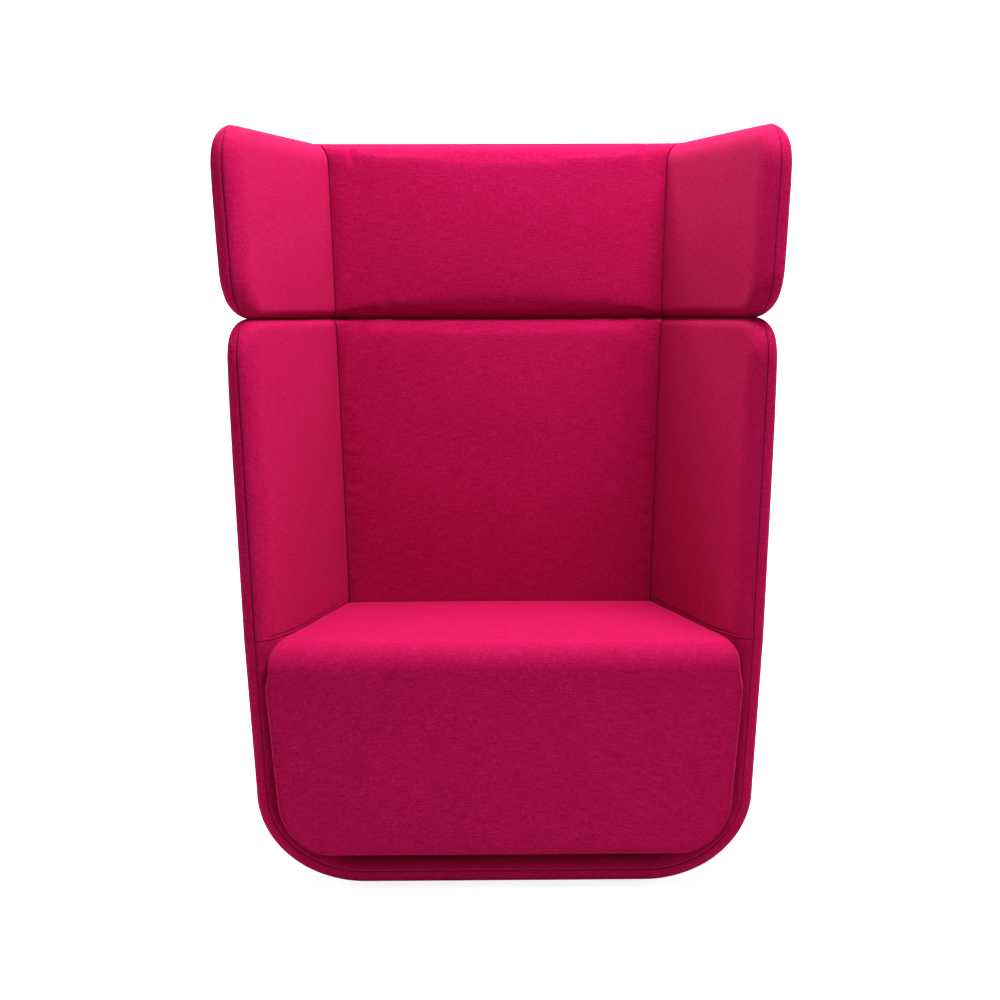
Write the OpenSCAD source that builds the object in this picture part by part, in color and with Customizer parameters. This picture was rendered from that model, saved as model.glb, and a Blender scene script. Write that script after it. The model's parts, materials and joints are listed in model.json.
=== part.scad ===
// High back lounge chair: an upholstered tub, a wall section and a winged head section.
// Front faces -Y, +X is on the right seen from the front, +Z is up, all sizes in millimetres.
// A place in a wall is given by p, the depth behind the front of the seat at floor level,
// z, the height, and w, how far it lies under the outer face. The lean then tips p back with z.

/* [Heights] */
// Height of the sewn joint between the tub and the wall section, above the floor
seam_h = 424; // [416:1:440]
// Height of the wall section, from the sewn joint to the head joint
wall_section_h = 554; // [520:1:590]
// Height of the head section's back, from the head joint to its top
head_section_h = 349; // [320:1:390]
// How far the wing tips at the front stay under the top of the back
wing_tip_drop = 16; // [0:1:30]
// Gap between the tub and the floor
floor_gap = 12.5; // [10:0.5:20]
// Backward lean of the rim, the seat front and the back, in degrees
lean = 6; // [3:0.5:8]

/* [Plan] */
// Half the width over the rim where the bottom corner starts
rim_half_low = 428; // [410:1:440]
// Widening of each side of the rim from there to the sewn joint
tub_flare = 21; // [15:1:27]
// Widening of each side of the rim over the wall section
wall_flare = 34; // [26:1:42]
// Widening of each side of the rim over the head section
head_flare = 27; // [18:1:36]
// Depth from the front of the seat to the inner face of the back
seat_depth = 559; // [520:1:600]
// Depth of the rim behind the front of the seat
rim_setback = 22; // [18:1:30]
// Turn of each side wall towards the middle at the back, in degrees
splay = 11.75; // [10:0.25:13]
// Plan radius of the outer rear corners
rear_corner_r = 40; // [36:1:44]

/* [Walls] */
// Thickness of the walls at the rim and of the back
wall_t = 44; // [42:0.5:50]
// Thickness of the side walls against the back, at the sewn joint
root_t_seam = 35; // [34:0.5:40]
// Thickness of the side walls against the back, at the head joint
root_t_split = 44.5; // [40:0.5:50]
// Thickness of the side walls against the back, at the top
root_t_top = 56; // [45:0.5:60]
// Depth of the rim seam under the outer face
seam_w = 18; // [17.5:0.25:19]
// Thickness of the covers with their wadding
cover_t = 5.5; // [5:0.25:6]
// Thickness of the boards
board_t = 11.5; // [10:0.25:11.5]
// Clearance between pieces that lie against each other
gap = 0.3; // [0.2:0.05:0.4]

/* [Edges] */
// Rounding of the outer covers along the rim
outer_roll = 20; // [16:1:24]
// Rounding of the outer covers along the head joint and the top
outer_top_roll = 30; // [22:1:36]
// Rounding of the inner pads along the rim, the head joint and the top
pad_roll = 26; // [20:1:30]
// Rounding of the inner pads in the inner corners
crease_roll = 10; // [7:0.5:14]
// Corner radius of the walls at the front of the head joint
wall_corner_r = 65; // [50:1:80]
// Lower front corner radius of the wings
wing_corner_low_r = 78; // [60:1:85]
// Upper front corner radius of the wings
wing_corner_top_r = 52; // [40:1:60]
// Crown of the inner side pads
side_crown = 4; // [0:0.5:8]
// Crown of the inner back pads
back_crown = 9; // [0:0.5:14]

/* [Tub] */
// Width of the rounded bottom corner of the tub
corner_a = 185; // [170:1:200]
// Height of the rounded bottom corner of the tub
corner_b = 155; // [140:1:165]
// Depth of the lining behind the rim
lining_depth = 48; // [40:1:55]
// Width of the cover that turns in under the tub
under_margin = 30; // [25:1:35]

/* [Seat] */
// How far the seat's front crest lies under the sewn joint
crest_drop = 3; // [0:1:10]
// How far the seat falls from its crest to the back
seat_fall = 6; // [4:1:12]
// Radius of the seat's front crest
crest_r = 32; // [24:1:40]
// Width of the rim that shows beside the crest
crest_reveal = 42; // [38:0.5:50]
// Width of the rim that shows beside the seat front where that is widest
wide_reveal = 30.5; // [26:0.5:38]
// Width of the rim that shows beside the seat front's bottom corner
corner_reveal = 36; // [32:0.5:44]
// How far under the crest the seat front is widest
wide_drop = 76; // [60:1:100]
// Height of the seat front's lower edge
front_low_h = 61; // [58:1:70]
// Bottom corner radius of the seat front
front_corner_r = 100; // [85:1:112]
// Height of the crown of the seat
seat_crown = 10; // [0:0.5:14]
// Depth of the seat front's bulge
front_bulge_depth = 3; // [0:0.5:5]
// Rounding of the seat's side edges
seat_edge_roll = 22; // [16:1:28]
// Depth of the seat's edges under its surface
seat_edge_drop = 20; // [18:0.5:21]
// How far the top of the seat frame lies under the crest
deck_drop = 154; // [140:1:165]
// Height of the seat frame's rails
rail_h = 45; // [35:1:55]
// Thickness of the seat frame's rails
rail_t = 28; // [22:1:32]
// Width of a webbing strap
strap_w = 50; // [40:1:60]
// Thickness of a webbing strap
strap_t = 2; // [1.5:0.1:2.5]
// Thickness of the bulkheads in the tub
bulkhead_t = 18; // [15:0.5:21]

/* [Fittings] */
// Width of the flat link bars
bar_w = 40; // [30:1:50]
// Thickness of the flat link bars
bar_t = 3; // [2.5:0.1:4]
// Length of the link bars across the head joint
head_bar_len = 260; // [220:1:300]
// Length of the link bars across the sewn joint
wall_bar_len = 160; // [140:1:200]
// Distance of the back's link bars from the middle
back_bar_x = 190; // [120:1:220]
// Radius of the wood screws
screw_r = 2.2; // [2:0.1:2.5]
// Radius of the wood screws' heads
screw_head_r = 4.4; // [4:0.1:5]
// Length of the wood screws
screw_len = 10; // [9:0.1:10.5]
// Radius of the glides' feet
glide_r = 22; // [18:0.5:26]
// Radius of the glides' threaded studs
stud_r = 5; // [4:0.5:6]
// Length of the glides' threaded studs
stud_len = 44; // [36:1:50]
// Distance of the glides from the edges of the tub's flat underside
glide_inset = 57; // [55:1:65]
// Depth of the front glides
glide_front_p = 118; // [110:1:150]
// Distance of the rear glides before the back's face
glide_rear_before = 89; // [75:1:110]

/* [Hidden] */
// Running clearance of a stud in its insert
stud_clear = 0.05;
// Height of a glide's foot
foot_h = 8;
// Edge rounding of a glide's foot
foot_edge = 2;
// Half the width over the corners of a glide's hexagon
hex_r = 9.5;
// Thickness of an insert's flange
flange_t = 1.6;
// Radius of an insert's flange
flange_r = 12.5;
// Wall of an insert's barrel
barrel_t = 1.6;
// Thickness of the cloth under the tub
under_t = 1.5;
// Size of the corner blocks in the seat frame
block_size = 60;
// Height of the corner blocks
block_h = 34;
// Gap between the bulkheads and what stands before or behind them
bulkhead_gap = 2;
// Width of the blocks behind the seat front
spacer_w = 44;
// Height of the blocks behind the seat front
spacer_h = 90;
// Height of the lower edge of those blocks
spacer_low_h = 105;
// Distance of the inner blocks from the middle
spacer_near_x = 110;
// Distance of the outer blocks' middle from the edge of the seat front's foot
spacer_inset = 122;
// Depth of the seat front's board behind its surface
front_board_p = 8.5;
// Thickness of the seat front's board
front_board_t = 11;
// Distance that the board stays inside the seat front's edge
front_board_inset = 13.5;
// How far the rear bulkhead stands before the back board
rear_bulkhead_back = 185;
// How far the inner back pad reaches under the seat's height
back_pad_drop = 85;
// Thickness of the seat's topper at its edges
topper_edge_t = 2;
// Rounding of the seat front's lower edge
front_edge_roll = 10;
// Rounding of the seat's rear edge
seat_rear_roll = 14;
// Overrun of cuts past the faces they open
cut_over = 1;
// How far the rim lining stays under the line of the walls' inner faces
lining_relief = 1.5;
// Outward direction of the seat's top, in degrees up from the front
top_turn = 90;
// Steps in a rounded edge, in a corner, and places across a crowned piece
roll_steps = 3;
corner_steps = 5;
crown_share = [0.22, 0.5, 0.78];
// Place of the middle step between a rounded edge and the end of its corner
corner_mid_share = 0.45;
// The same inside a foam piece
foam_steps = 1;
foam_crown_share = [0.5];
// Places across the seat between its rounded edges, from -1 to 1
seat_mid_share = [-0.55, 0, 0.55];
// Places up the seat front over its corners, and from the crest to the back
front_up_share = [0.35, 0.7];
seat_back_share = [0.12, 0.3, 0.5, 0.7, 0.88];
// Room between a foam piece's edge and its cover
foam_room = 3;
// Part of its height that a foam piece keeps at its edge
foam_edge_share = 0.35;
// Part of the back pad's crown that the seat keeps clear of
seat_rear_share = 0.6;
// Part of its depth at which the rim lining starts
lining_edge_share = 0.06;
// Places of the screws along half a bar, and of the rear wall bars
screw_shares = [0.35, 0.8];
tub_bar_shares = [0.22, 0.72];
// Webbing straps each way
straps_deep = 6;
straps_wide = 5;

wool = [0.76, 0.06, 0.31];
wool_dark = [0.55, 0.04, 0.22];
foam_colour = [0.93, 0.88, 0.66];
ply_colour = [0.80, 0.65, 0.45];
beech_colour = [0.72, 0.52, 0.34];
steel_colour = [0.62, 0.63, 0.65];
felt_colour = [0.16, 0.16, 0.17];
nylon_colour = [0.10, 0.10, 0.11];

$fn = 48;

// Derived places and sizes
split_h = seam_h + wall_section_h;
overall_h = split_h + head_section_h;
wing_tip_h = overall_h - wing_tip_drop;
rim_half_seam = rim_half_low + tub_flare;
rim_half_split = rim_half_seam + wall_flare;
rim_half_top = rim_half_split + head_flare;
crest_h = seam_h - crest_drop;
seat_h = crest_h - seat_fall;
front_wide_h = crest_h - wide_drop;
deck_h = crest_h - deck_drop;
corner_top_h = floor_gap + corner_b;
rear_p = seat_depth + wall_t / cos(lean);
corner_p = rear_p - rear_corner_r;
tangent_p = corner_p + rear_corner_r * sin(splay);
side_k = 1 / cos(splay);
board_w = cover_t + gap;
board_in_w = board_w + board_t;
pad_w = seam_w + gap;
deck_low_h = deck_h - rail_h;
webbing_top_h = deck_h + 2 * (gap + strap_t) + gap;
bulkhead_p = rim_setback + lining_depth + bulkhead_gap;
rail_drift = rail_h * tan(lean);
front_rail_p = bulkhead_p + rail_drift;
inner_rear_p = rear_p - pad_w / cos(lean);
rear_bulkhead_p = inner_rear_p - rear_bulkhead_back;
base_low_h = floor_gap + board_w;

// Small helpers
function mix(a, b, s) = a + (b - a) * s;
function turned(list) = [for (i = [len(list) - 1:-1:0]) list[i]];
function unit(v) = v / norm(v);
// Height share of a rounded edge at a distance from it
function roll(r, d) = d >= r ? 1 : sqrt(1 - pow(1 - d / r, 2));
// A smooth hump over a share from 0 to 1
function hump(share) = 4 * share * (1 - share);
// How far a rounded corner draws an edge in, at a distance from the corner's end
function drawn_in(r, d) = d >= r ? 0 : r - sqrt(r * r - pow(r - d, 2));
// Distances across a rounded edge and the corner behind it
function roll_stops(r, n = roll_steps) = [for (i = [0:n]) r * (1 - cos(90 * i / n))];
function edge_stops(r, corner, n = roll_steps) =
    corner > r ? concat(roll_stops(r, n), [mix(r, corner, corner_mid_share), corner]) : roll_stops(r, n);

// A station is a distance from the low end, a share of the middle, or a distance from the high end
function stations(low, shares, high) = concat(
    [for (d = low) [0, d]],
    [for (s = shares) [1, s]],
    [for (d = turned(high)) [2, d]]);
function from_low(st) = st[0] == 0 ? st[1] : overall_h;
function from_high(st) = st[0] == 2 ? st[1] : overall_h;
function place(st, low, high, a, b) =
    st[0] == 0 ? low + st[1] : st[0] == 2 ? high - st[1] : mix(low + a, high - b, st[1]);

// The chair's main surfaces, before the lean
function rim_half(z) = lookup(z, [
    [corner_top_h, rim_half_low],
    [seam_h, rim_half_seam],
    [split_h, rim_half_split],
    [overall_h, rim_half_top]]);
function root_t(z) = lookup(z, [
    [seam_h, root_t_seam],
    [split_h, root_t_split],
    [overall_h, root_t_top]]);
function outer_x(p, z) = rim_half(z) - (p - rim_setback) * tan(splay);
function face_x(p, z) = mix(
    rim_half(z) - wall_t * side_k,
    outer_x(seat_depth, z) - root_t(z),
    (p - rim_setback) / (seat_depth - rim_setback));
function leaned(x, p, z) = [x, p + z * tan(lean) - mid_y, z];

// One solid between two grids of points, the first one its outside
function grid_faces(n, m) = [
    for (i = [0:n - 2], j = [0:m - 2]) each [
        [i * m + j, i * m + j + 1, (i + 1) * m + j + 1],
        [i * m + j, (i + 1) * m + j + 1, (i + 1) * m + j]]];
function moved(faces, by) = [for (f = faces) [f[2] + by, f[1] + by, f[0] + by]];
function strip(a, b, by) = [[b, a, a + by], [b, a + by, b + by]];
function side_strips(n, m, ends) = concat(
    [for (j = [0:m - 2]) each strip(j, j + 1, n * m)],
    [for (i = [0:n - 2]) each strip(i * m + m - 1, (i + 1) * m + m - 1, n * m)],
    [for (i = [0:n - 2]) each strip((i + 1) * m, i * m, n * m)],
    ends ? [for (j = [0:m - 2]) each strip((n - 1) * m + j + 1, (n - 1) * m + j, n * m)] : []);
function flat_list(rows) = [for (r = rows) each r];

module solid_between(outside, inside, flip = false) {
    n = len(outside);
    m = len(outside[0]);
    skin = grid_faces(n, m);
    faces = concat(turned(skin), moved(skin, n * m), side_strips(n, m, true));
    polyhedron(
        points = concat(flat_list(outside), flat_list(inside)),
        faces = flip ? moved(faces, 0) : faces);
}

// The same, with the last row closed by a wall between its two halves
module bucket_between(outside, inside) {
    n = len(outside);
    m = len(outside[0]);
    skin = grid_faces(n, m);
    low = (n - 1) * m;
    wall = [for (j = [0:m / 2 - 2]) each [
        [low + j, low + j + 1, low + m - 2 - j],
        [low + j, low + m - 2 - j, low + m - 1 - j]]];
    faces = concat(skin, wall, moved(skin, n * m), moved(wall, n * m),
        side_strips(n, m, false), strip(low + m - 1, low, n * m));
    polyhedron(points = concat(flat_list(outside), flat_list(inside)), faces = faces);
}

module mirrored(side) {
    mirror([side < 0 ? 1 : 0, 0, 0]) children();
}

// A flat slab whose front face is the leaning plane at depth p
module lean_slab(p, t, outline) {
    translate([0, p - mid_y, 0])
    rotate([90 - lean, 0, 0])
    translate([0, 0, -t])
    linear_extrude(t)
    polygon([for (q = outline) [q[0], q[1] / cos(lean)]]);
}

// The plane of a side wall between two heights: corner, directions along, up and out
function wall_plane(z0, z1) =
    let (
        start = leaned(outer_x(rim_setback, z0), rim_setback, z0),
        along = unit(leaned(outer_x(seat_depth, z0), seat_depth, z0) - start),
        rise = leaned(outer_x(rim_setback, z1), rim_setback, z1) - start,
        out = unit(cross(along, rise)))
    [start, along, cross(out, along), out];
function on_plane(plane, p, z) =
    let (v = leaned(outer_x(p, z), p, z) - plane[0])
    [v * plane[1], v * plane[2]];

// A slab parallel to a side wall, w under its outer face, from an outline of [p, z] places
module wall_slab(z0, z1, w, t, outline) {
    plane = wall_plane(z0, z1);
    shift = plane[0] - plane[3] * (w + t);
    multmatrix([
        [plane[1][0], plane[2][0], plane[3][0], shift[0]],
        [plane[1][1], plane[2][1], plane[3][1], shift[1]],
        [plane[1][2], plane[2][2], plane[3][2], shift[2]],
        [0, 0, 0, 1]])
    linear_extrude(t)
    polygon([for (q = outline) on_plane(plane, q[0], q[1])]);
}

// The sections: low height, corner radius there, top height at a depth, corner radius there
wall_section = [seam_h + gap / 2, 0, split_h - gap / 2, split_h - gap / 2, wall_corner_r];
head_section = [split_h + gap / 2, wing_corner_low_r, wing_tip_h, overall_h, wing_corner_top_r];
function section_top(s, p) = mix(s[2], s[3], (p - rim_setback) / (rear_p - rim_setback));

// The largest distance from an end among a list of stations
function reach(list, end) = max([for (k = list) k[0] == end ? k[1] : 0]);

// Depth and height of a station pair on a side wall, set in from the section's edges
function wall_place(s, u, v, inset, low_inset, p_end, us, vs) =
    let (
        front = rim_setback + inset + drawn_in(max(s[1] - inset, gap), from_low(v))
            + drawn_in(max(s[4] - inset, gap), from_high(v)),
        p = place(u, front, p_end, reach(us, 0), reach(us, 2)))
    [p, place(v, s[0] + low_inset, section_top(s, p) - inset, reach(vs, 0), reach(vs, 2))];

// The outer cover of a side wall, from the rim to the rear corner, t under its face
function side_cover_grid(s, low_roll, t) =
    let (
        front_r = outer_roll - t,
        top_r = outer_top_roll - t,
        low_r = low_roll - t,
        us = stations(roll_stops(front_r), [], [0]),
        vs = stations(
            low_roll > 0 ? edge_stops(low_r, s[1] - t) : [0], [], edge_stops(top_r, s[4] - t)))
    [for (u = us) [for (v = vs)
        let (
            rise = roll(top_r, from_high(v)) * (low_roll > 0 ? roll(low_r, from_low(v)) : 1),
            end_w = mix(seam_w, t, rise),
            p_end = tangent_p - gap / 2 - end_w * sin(splay),
            q = wall_place(s, u, v, t, low_roll > 0 ? t : 0, p_end, us, vs),
            w = mix(seam_w, t, rise * roll(front_r, from_low(u))))
        leaned(outer_x(q[0], q[1]) - w * side_k, q[0], q[1])]];

module side_cover(s, low_roll) {
    solid_between(side_cover_grid(s, low_roll, 0), side_cover_grid(s, low_roll, cover_t));
}

// A point on the rounded rear corner, at a turn of a degrees from straight out
function corner_pt(a, z, w) = [
    outer_x(corner_p, z) - rear_corner_r * side_k + (rear_corner_r - w) * cos(a),
    corner_p + (rear_corner_r - w) * sin(a)];
corner_turns = [for (i = [0:corner_steps]) mix(splay, 90, i / corner_steps)];

function back_cover_grid(s, low_roll, t) =
    let (
        top_r = outer_top_roll - t,
        low_r = low_roll - t,
        vs = stations(low_roll > 0 ? roll_stops(low_r) : [0], [], roll_stops(top_r)))
    [for (side = [-1, 1], a = side < 0 ? corner_turns : turned(corner_turns)) [for (v = vs)
        let (
            top = section_top(s, corner_pt(a, s[3], t)[1]) - t,
            z = place(v, s[0] + (low_roll > 0 ? t : 0), top, max(low_r, 0), top_r),
            e = roll(top_r, from_high(v)) * (low_roll > 0 ? roll(low_r, from_low(v)) : 1),
            q = corner_pt(a, z, mix(seam_w, t, e)))
        leaned(side * q[0], q[1], z)]];

module back_cover(s, low_roll) {
    difference() {
        solid_between(
            back_cover_grid(s, low_roll, 0), back_cover_grid(s, low_roll, cover_t), true);
        head_bar_slots();
    }
}

// An inner pad of a side wall, set in by its edges; a foam piece keeps an edge height
pad_end_p = seat_depth + crease_roll;
foam_face_w = cover_t + 2 * gap;
foam_edge_w = cover_t + foam_room;
function side_pad_grid(s, low_roll, inset, foam = false, base = false) =
    let (
        n = foam ? foam_steps : roll_steps,
        r = pad_roll - inset,
        c = max(crease_roll - inset, crease_roll / 4),
        l = max(low_roll - inset, crease_roll / 4),
        edge = foam ? foam_edge_share : 0,
        under = foam ? foam_face_w : inset,
        shares = foam ? foam_crown_share : crown_share,
        us = stations(roll_stops(r, n), shares, roll_stops(c, n)),
        vs = stations(edge_stops(l, s[1] - inset, n), shares, edge_stops(r, s[4] - inset, n)),
        p_end = pad_end_p - inset)
    [for (u = us) [for (v = vs)
        let (
            q = wall_place(s, u, v, inset, inset, p_end, us, vs),
            e = mix(edge, 1, roll(r, from_low(u)) * roll(c, from_high(u))
                * roll(l, from_low(v)) * roll(r, from_high(v))),
            across = (q[0] - rim_setback) / (p_end - rim_setback),
            up = (q[1] - s[0]) / (s[3] - s[0]),
            low_x = outer_x(q[0], q[1]) - (pad_w + (foam ? gap : 0)) * side_k,
            face = face_x(q[0], q[1]) + under - side_crown * hump(across) * hump(up))
        leaned(base ? low_x : mix(low_x, face, e), q[0], q[1])]];

module side_pad(s, low_roll) {
    solid_between(
        side_pad_grid(s, low_roll, 0), side_pad_grid(s, low_roll, cover_t), true);
}
module side_foam(s, low_roll) {
    solid_between(
        side_pad_grid(s, low_roll, foam_edge_w, true),
        side_pad_grid(s, low_roll, foam_edge_w, true, true), true);
}

// An inner pad of the back between the side pads
function back_half(z) = face_x(inner_rear_p, z) - gap;
function back_pad_grid(low, high, low_roll, inset, foam = false, base = false) =
    let (
        n = foam ? foam_steps : roll_steps,
        r = pad_roll - inset,
        c = max(crease_roll - inset, crease_roll / 4),
        l = max(low_roll - inset, crease_roll / 4),
        edge = foam ? foam_edge_share : 0,
        under = foam ? foam_face_w : inset,
        shares = foam ? foam_crown_share : crown_share,
        us = stations(roll_stops(c, n), shares, roll_stops(c, n)),
        vs = stations(roll_stops(l, n), shares, roll_stops(r, n)),
        base_p = inner_rear_p - (foam ? gap : 0))
    [for (u = us) [for (v = vs)
        let (
            z = place(v, low + inset, high - inset, l, r),
            half = back_half(z) - inset,
            x = place(u, -half, half, c, c),
            e = mix(edge, 1, roll(c, from_low(u)) * roll(c, from_high(u))
                * roll(l, from_low(v)) * roll(r, from_high(v))),
            across = (x + half) / (2 * half),
            up = (z - low) / (high - low),
            face = seat_depth + under - back_crown * hump(across) * hump(up))
        leaned(x, base ? base_p : mix(base_p, face, e), z)]];

module back_pad_solid(low, high, low_roll) {
    solid_between(
        back_pad_grid(low, high, low_roll, 0), back_pad_grid(low, high, low_roll, cover_t));
}
module back_foam_solid(low, high, low_roll) {
    solid_between(
        back_pad_grid(low, high, low_roll, foam_edge_w, true),
        back_pad_grid(low, high, low_roll, foam_edge_w, true, true));
}

// The tub's section at depth p, w under its outer face and drawn in by s at the rear
tub_stops = [for (i = [0:2 * corner_steps]) 90 * i / (2 * corner_steps)];
function tub_half_row(p, w, s) = concat(
    [for (z = [seam_h - gap / 2]) [outer_x(p, z) - w * side_k - s, z]],
    [for (a = tub_stops) [
        outer_x(p, corner_top_h) - corner_a + (corner_a - w * side_k - s) * cos(a),
        corner_top_h - (corner_b - w - s) * sin(a)]]);
function tub_row(p, w, s) =
    let (half = tub_half_row(p, w, s))
    concat(
        [for (q = half) leaned(-q[0], p, q[1])],
        [for (q = turned(half)) leaned(q[0], p, q[1])]);
function rear_draw(a, w) = (rear_corner_r - w) * (side_k - tan(splay) * sin(a) - cos(a));
function tub_grid(w) = concat(
    [for (d = roll_stops(outer_roll - w))
        tub_row(rim_setback + w + d, w + (seam_w - w) * (1 - roll(outer_roll - w, d)), 0)],
    [for (a = corner_turns) tub_row(corner_p + (rear_corner_r - w) * sin(a), w, rear_draw(a, w))]);

function flat_half(p) = outer_x(p, corner_top_h) - corner_a;
base_front_p = rim_setback + outer_roll + gap;
base_rear_p = corner_p - gap;
window_front_p = rim_setback + outer_roll + under_margin / 2;
window_rear_p = corner_p;
function under_outline(inset) = [
    [-flat_half(window_front_p) + under_margin + inset, window_front_p + inset],
    [flat_half(window_front_p) - under_margin - inset, window_front_p + inset],
    [flat_half(window_rear_p) - under_margin - inset, window_rear_p - inset],
    [-flat_half(window_rear_p) + under_margin + inset, window_rear_p - inset]];
module plan_prism(outline, z, h) {
    translate([0, z * tan(lean) - mid_y, z])
    linear_extrude(h)
    polygon(outline);
}

// Sub-parts of the tub
module tub_cover() {
    color(wool)
    difference() {
        bucket_between(tub_grid(0), tub_grid(cover_t));
        translate([0, 0, -cut_over])
        plan_prism(under_outline(0), floor_gap, cover_t + 2 * cut_over);
    }
}
module underside_cloth() {
    color(felt_colour)
    difference() {
        translate([0, 0, cover_t - under_t])
        plan_prism(under_outline(gap), floor_gap, under_t);
        each_glide() cylinder(r = flange_r + gap, h = overall_h);
    }
}
module rim_lining() {
    stops = concat(roll_stops(pad_roll), [lining_depth]);
    lining_t = wall_t - lining_relief - pad_w;
    color(wool)
    solid_between(
        [for (d = stops) tub_row(rim_setback + d,
            pad_w + lining_t * mix(lining_edge_share, 1, roll(pad_roll, d)), 0)],
        [for (d = stops) tub_row(rim_setback + d, pad_w, 0)], true);
}
module tub_side_pads() {
    low = webbing_top_h + gap;
    high = seam_h - gap / 2;
    front = rim_setback + lining_depth + gap;
    function grid(inner) = [for (p = [front, pad_end_p]) [for (z = [low, high])
        leaned(inner ? face_x(p, z) : outer_x(p, z) - pad_w * side_k, p, z)]];
    color(wool)
    for (side = [-1, 1]) mirrored(side)
    solid_between(grid(true), grid(false), true);
}
module base_board() {
    color(ply_colour)
    difference() {
        plan_prism([
            [-flat_half(base_front_p), base_front_p],
            [flat_half(base_front_p), base_front_p],
            [flat_half(base_rear_p), base_rear_p],
            [-flat_half(base_rear_p), base_rear_p]], base_low_h, board_t);
        each_glide() cylinder(r = stud_r + stud_clear + barrel_t + gap / 2, h = overall_h);
    }
}
module tub_side_board(side) {
    flare = (rim_half_seam - rim_half_low) / (seam_h - corner_top_h);
    top = seam_h - gap - board_in_w * flare;
    mirrored(side) color(ply_colour)
    difference() {
        wall_slab(corner_top_h, seam_h, board_w, board_t, [
            [base_front_p, corner_top_h + gap],
            [tangent_p - gap, corner_top_h + gap],
            [tangent_p - gap, top],
            [base_front_p, top]]);
        side_bar_slots(corner_top_h, seam_h);
    }
}
function back_board_half(z) = corner_pt(90, z, 0)[0] - gap;
module tub_back_board() {
    low = corner_top_h;
    color(ply_colour)
    difference() {
        lean_slab(rear_p - board_in_w / cos(lean), board_t, [
            [-back_board_half(low), low],
            [back_board_half(low), low],
            [back_board_half(low), seam_h - gap],
            [-back_board_half(low), seam_h - gap]]);
        tub_back_slots();
    }
}
module bent_corner(side) {
    function row(p, w) = [for (a = tub_stops) leaned(
        flat_half(p) + gap + (corner_a - gap - w * side_k) * cos(a), p,
        corner_top_h - (corner_b - w) * sin(a))];
    mirrored(side) color(ply_colour)
    solid_between(
        [for (p = [base_front_p, base_rear_p]) turned(row(p, board_w))],
        [for (p = [base_front_p, base_rear_p]) turned(row(p, board_in_w))]);
}
module corner_strip(side, low, high) {
    function grid(w) = [for (a = corner_turns) [for (z = [low, high])
        let (q = corner_pt(a, z, w))
        leaned(q[0], q[1], z)]];
    mirrored(side) color(beech_colour)
    solid_between(grid(board_w), grid(board_in_w));
}
module tub_corner_strips() {
    for (side = [-1, 1]) corner_strip(side, corner_top_h, seam_h - gap);
}
module bulkhead(p, t, top) {
    rear = p + t / cos(lean);
    low_w = pad_w + t * sin(lean);
    half = [for (q = tub_half_row(rear, low_w, 0)) q[1] < top ? q : [q[0], top]];
    bounded = concat(
        [[mix(half[0][0], half[1][0],
            (seam_h - top) / (seam_h - corner_top_h)), top]],
        [for (i = [1:len(half) - 1]) half[i]]);
    color(ply_colour)
    lean_slab(p, t, concat(
        [for (q = bounded) [-q[0], q[1]]],
        [for (q = turned(bounded)) q]));
}
module front_bulkhead() {
    bulkhead(bulkhead_p, bulkhead_t, deck_low_h - gap);
}
module rear_bulkhead() {
    bulkhead(rear_bulkhead_p, bulkhead_t, deck_low_h - gap);
}

// The seat frame
function rail_half(p) = outer_x(p, deck_low_h) - (pad_w + gap) * side_k;
function rail_in(p) = rail_half(p) - rail_t * side_k;
rail_rear_p = inner_rear_p - gap;
module front_rail() {
    color(beech_colour)
    plan_prism([
        [-rail_in(front_rail_p + rail_t) + gap, front_rail_p],
        [rail_in(front_rail_p + rail_t) - gap, front_rail_p],
        [rail_in(front_rail_p + rail_t) - gap, front_rail_p + rail_t],
        [-rail_in(front_rail_p + rail_t) + gap, front_rail_p + rail_t]], deck_low_h, rail_h);
}
module rear_rail() {
    color(beech_colour)
    plan_prism([
        [-rail_in(rail_rear_p) + gap, rail_rear_p - rail_t],
        [rail_in(rail_rear_p) - gap, rail_rear_p - rail_t],
        [rail_in(rail_rear_p) - gap, rail_rear_p],
        [-rail_in(rail_rear_p) + gap, rail_rear_p]], deck_low_h, rail_h);
}
module side_rails() {
    color(beech_colour)
    for (side = [-1, 1]) mirrored(side)
    plan_prism([
        [rail_in(front_rail_p), front_rail_p],
        [rail_half(front_rail_p), front_rail_p],
        [rail_half(corner_p), corner_p],
        [corner_pt(90, deck_low_h, 0)[0], rail_rear_p],
        [rail_in(rail_rear_p), rail_rear_p]], deck_low_h, rail_h);
}
module corner_blocks() {
    front = front_rail_p + rail_t + gap;
    rear = rail_rear_p - rail_t - gap;
    color(beech_colour)
    for (side = [-1, 1]) mirrored(side) {
        plan_prism([
            [rail_in(front) - gap, front],
            [rail_in(front + block_size) - gap, front + block_size],
            [rail_in(front) - gap - block_size, front]], deck_low_h, block_h);
        plan_prism([
            [rail_in(rear) - gap, rear],
            [rail_in(rear) - gap - block_size, rear],
            [rail_in(rear - block_size) - gap, rear - block_size]], deck_low_h, block_h);
    }
}
strap_front_p = front_rail_p - rail_drift;
strap_rear_p = rail_rear_p - rail_drift;
module webbing_lengthwise() {
    pitch = 2 * rail_in(rail_rear_p) / straps_deep;
    color(felt_colour)
    for (i = [0:straps_deep - 1])
    translate([(i - (straps_deep - 1) / 2) * pitch, 0, 0])
    plan_prism([
        [-strap_w / 2, strap_front_p],
        [strap_w / 2, strap_front_p],
        [strap_w / 2, strap_rear_p],
        [-strap_w / 2, strap_rear_p]], deck_h + gap, strap_t);
}
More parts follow.
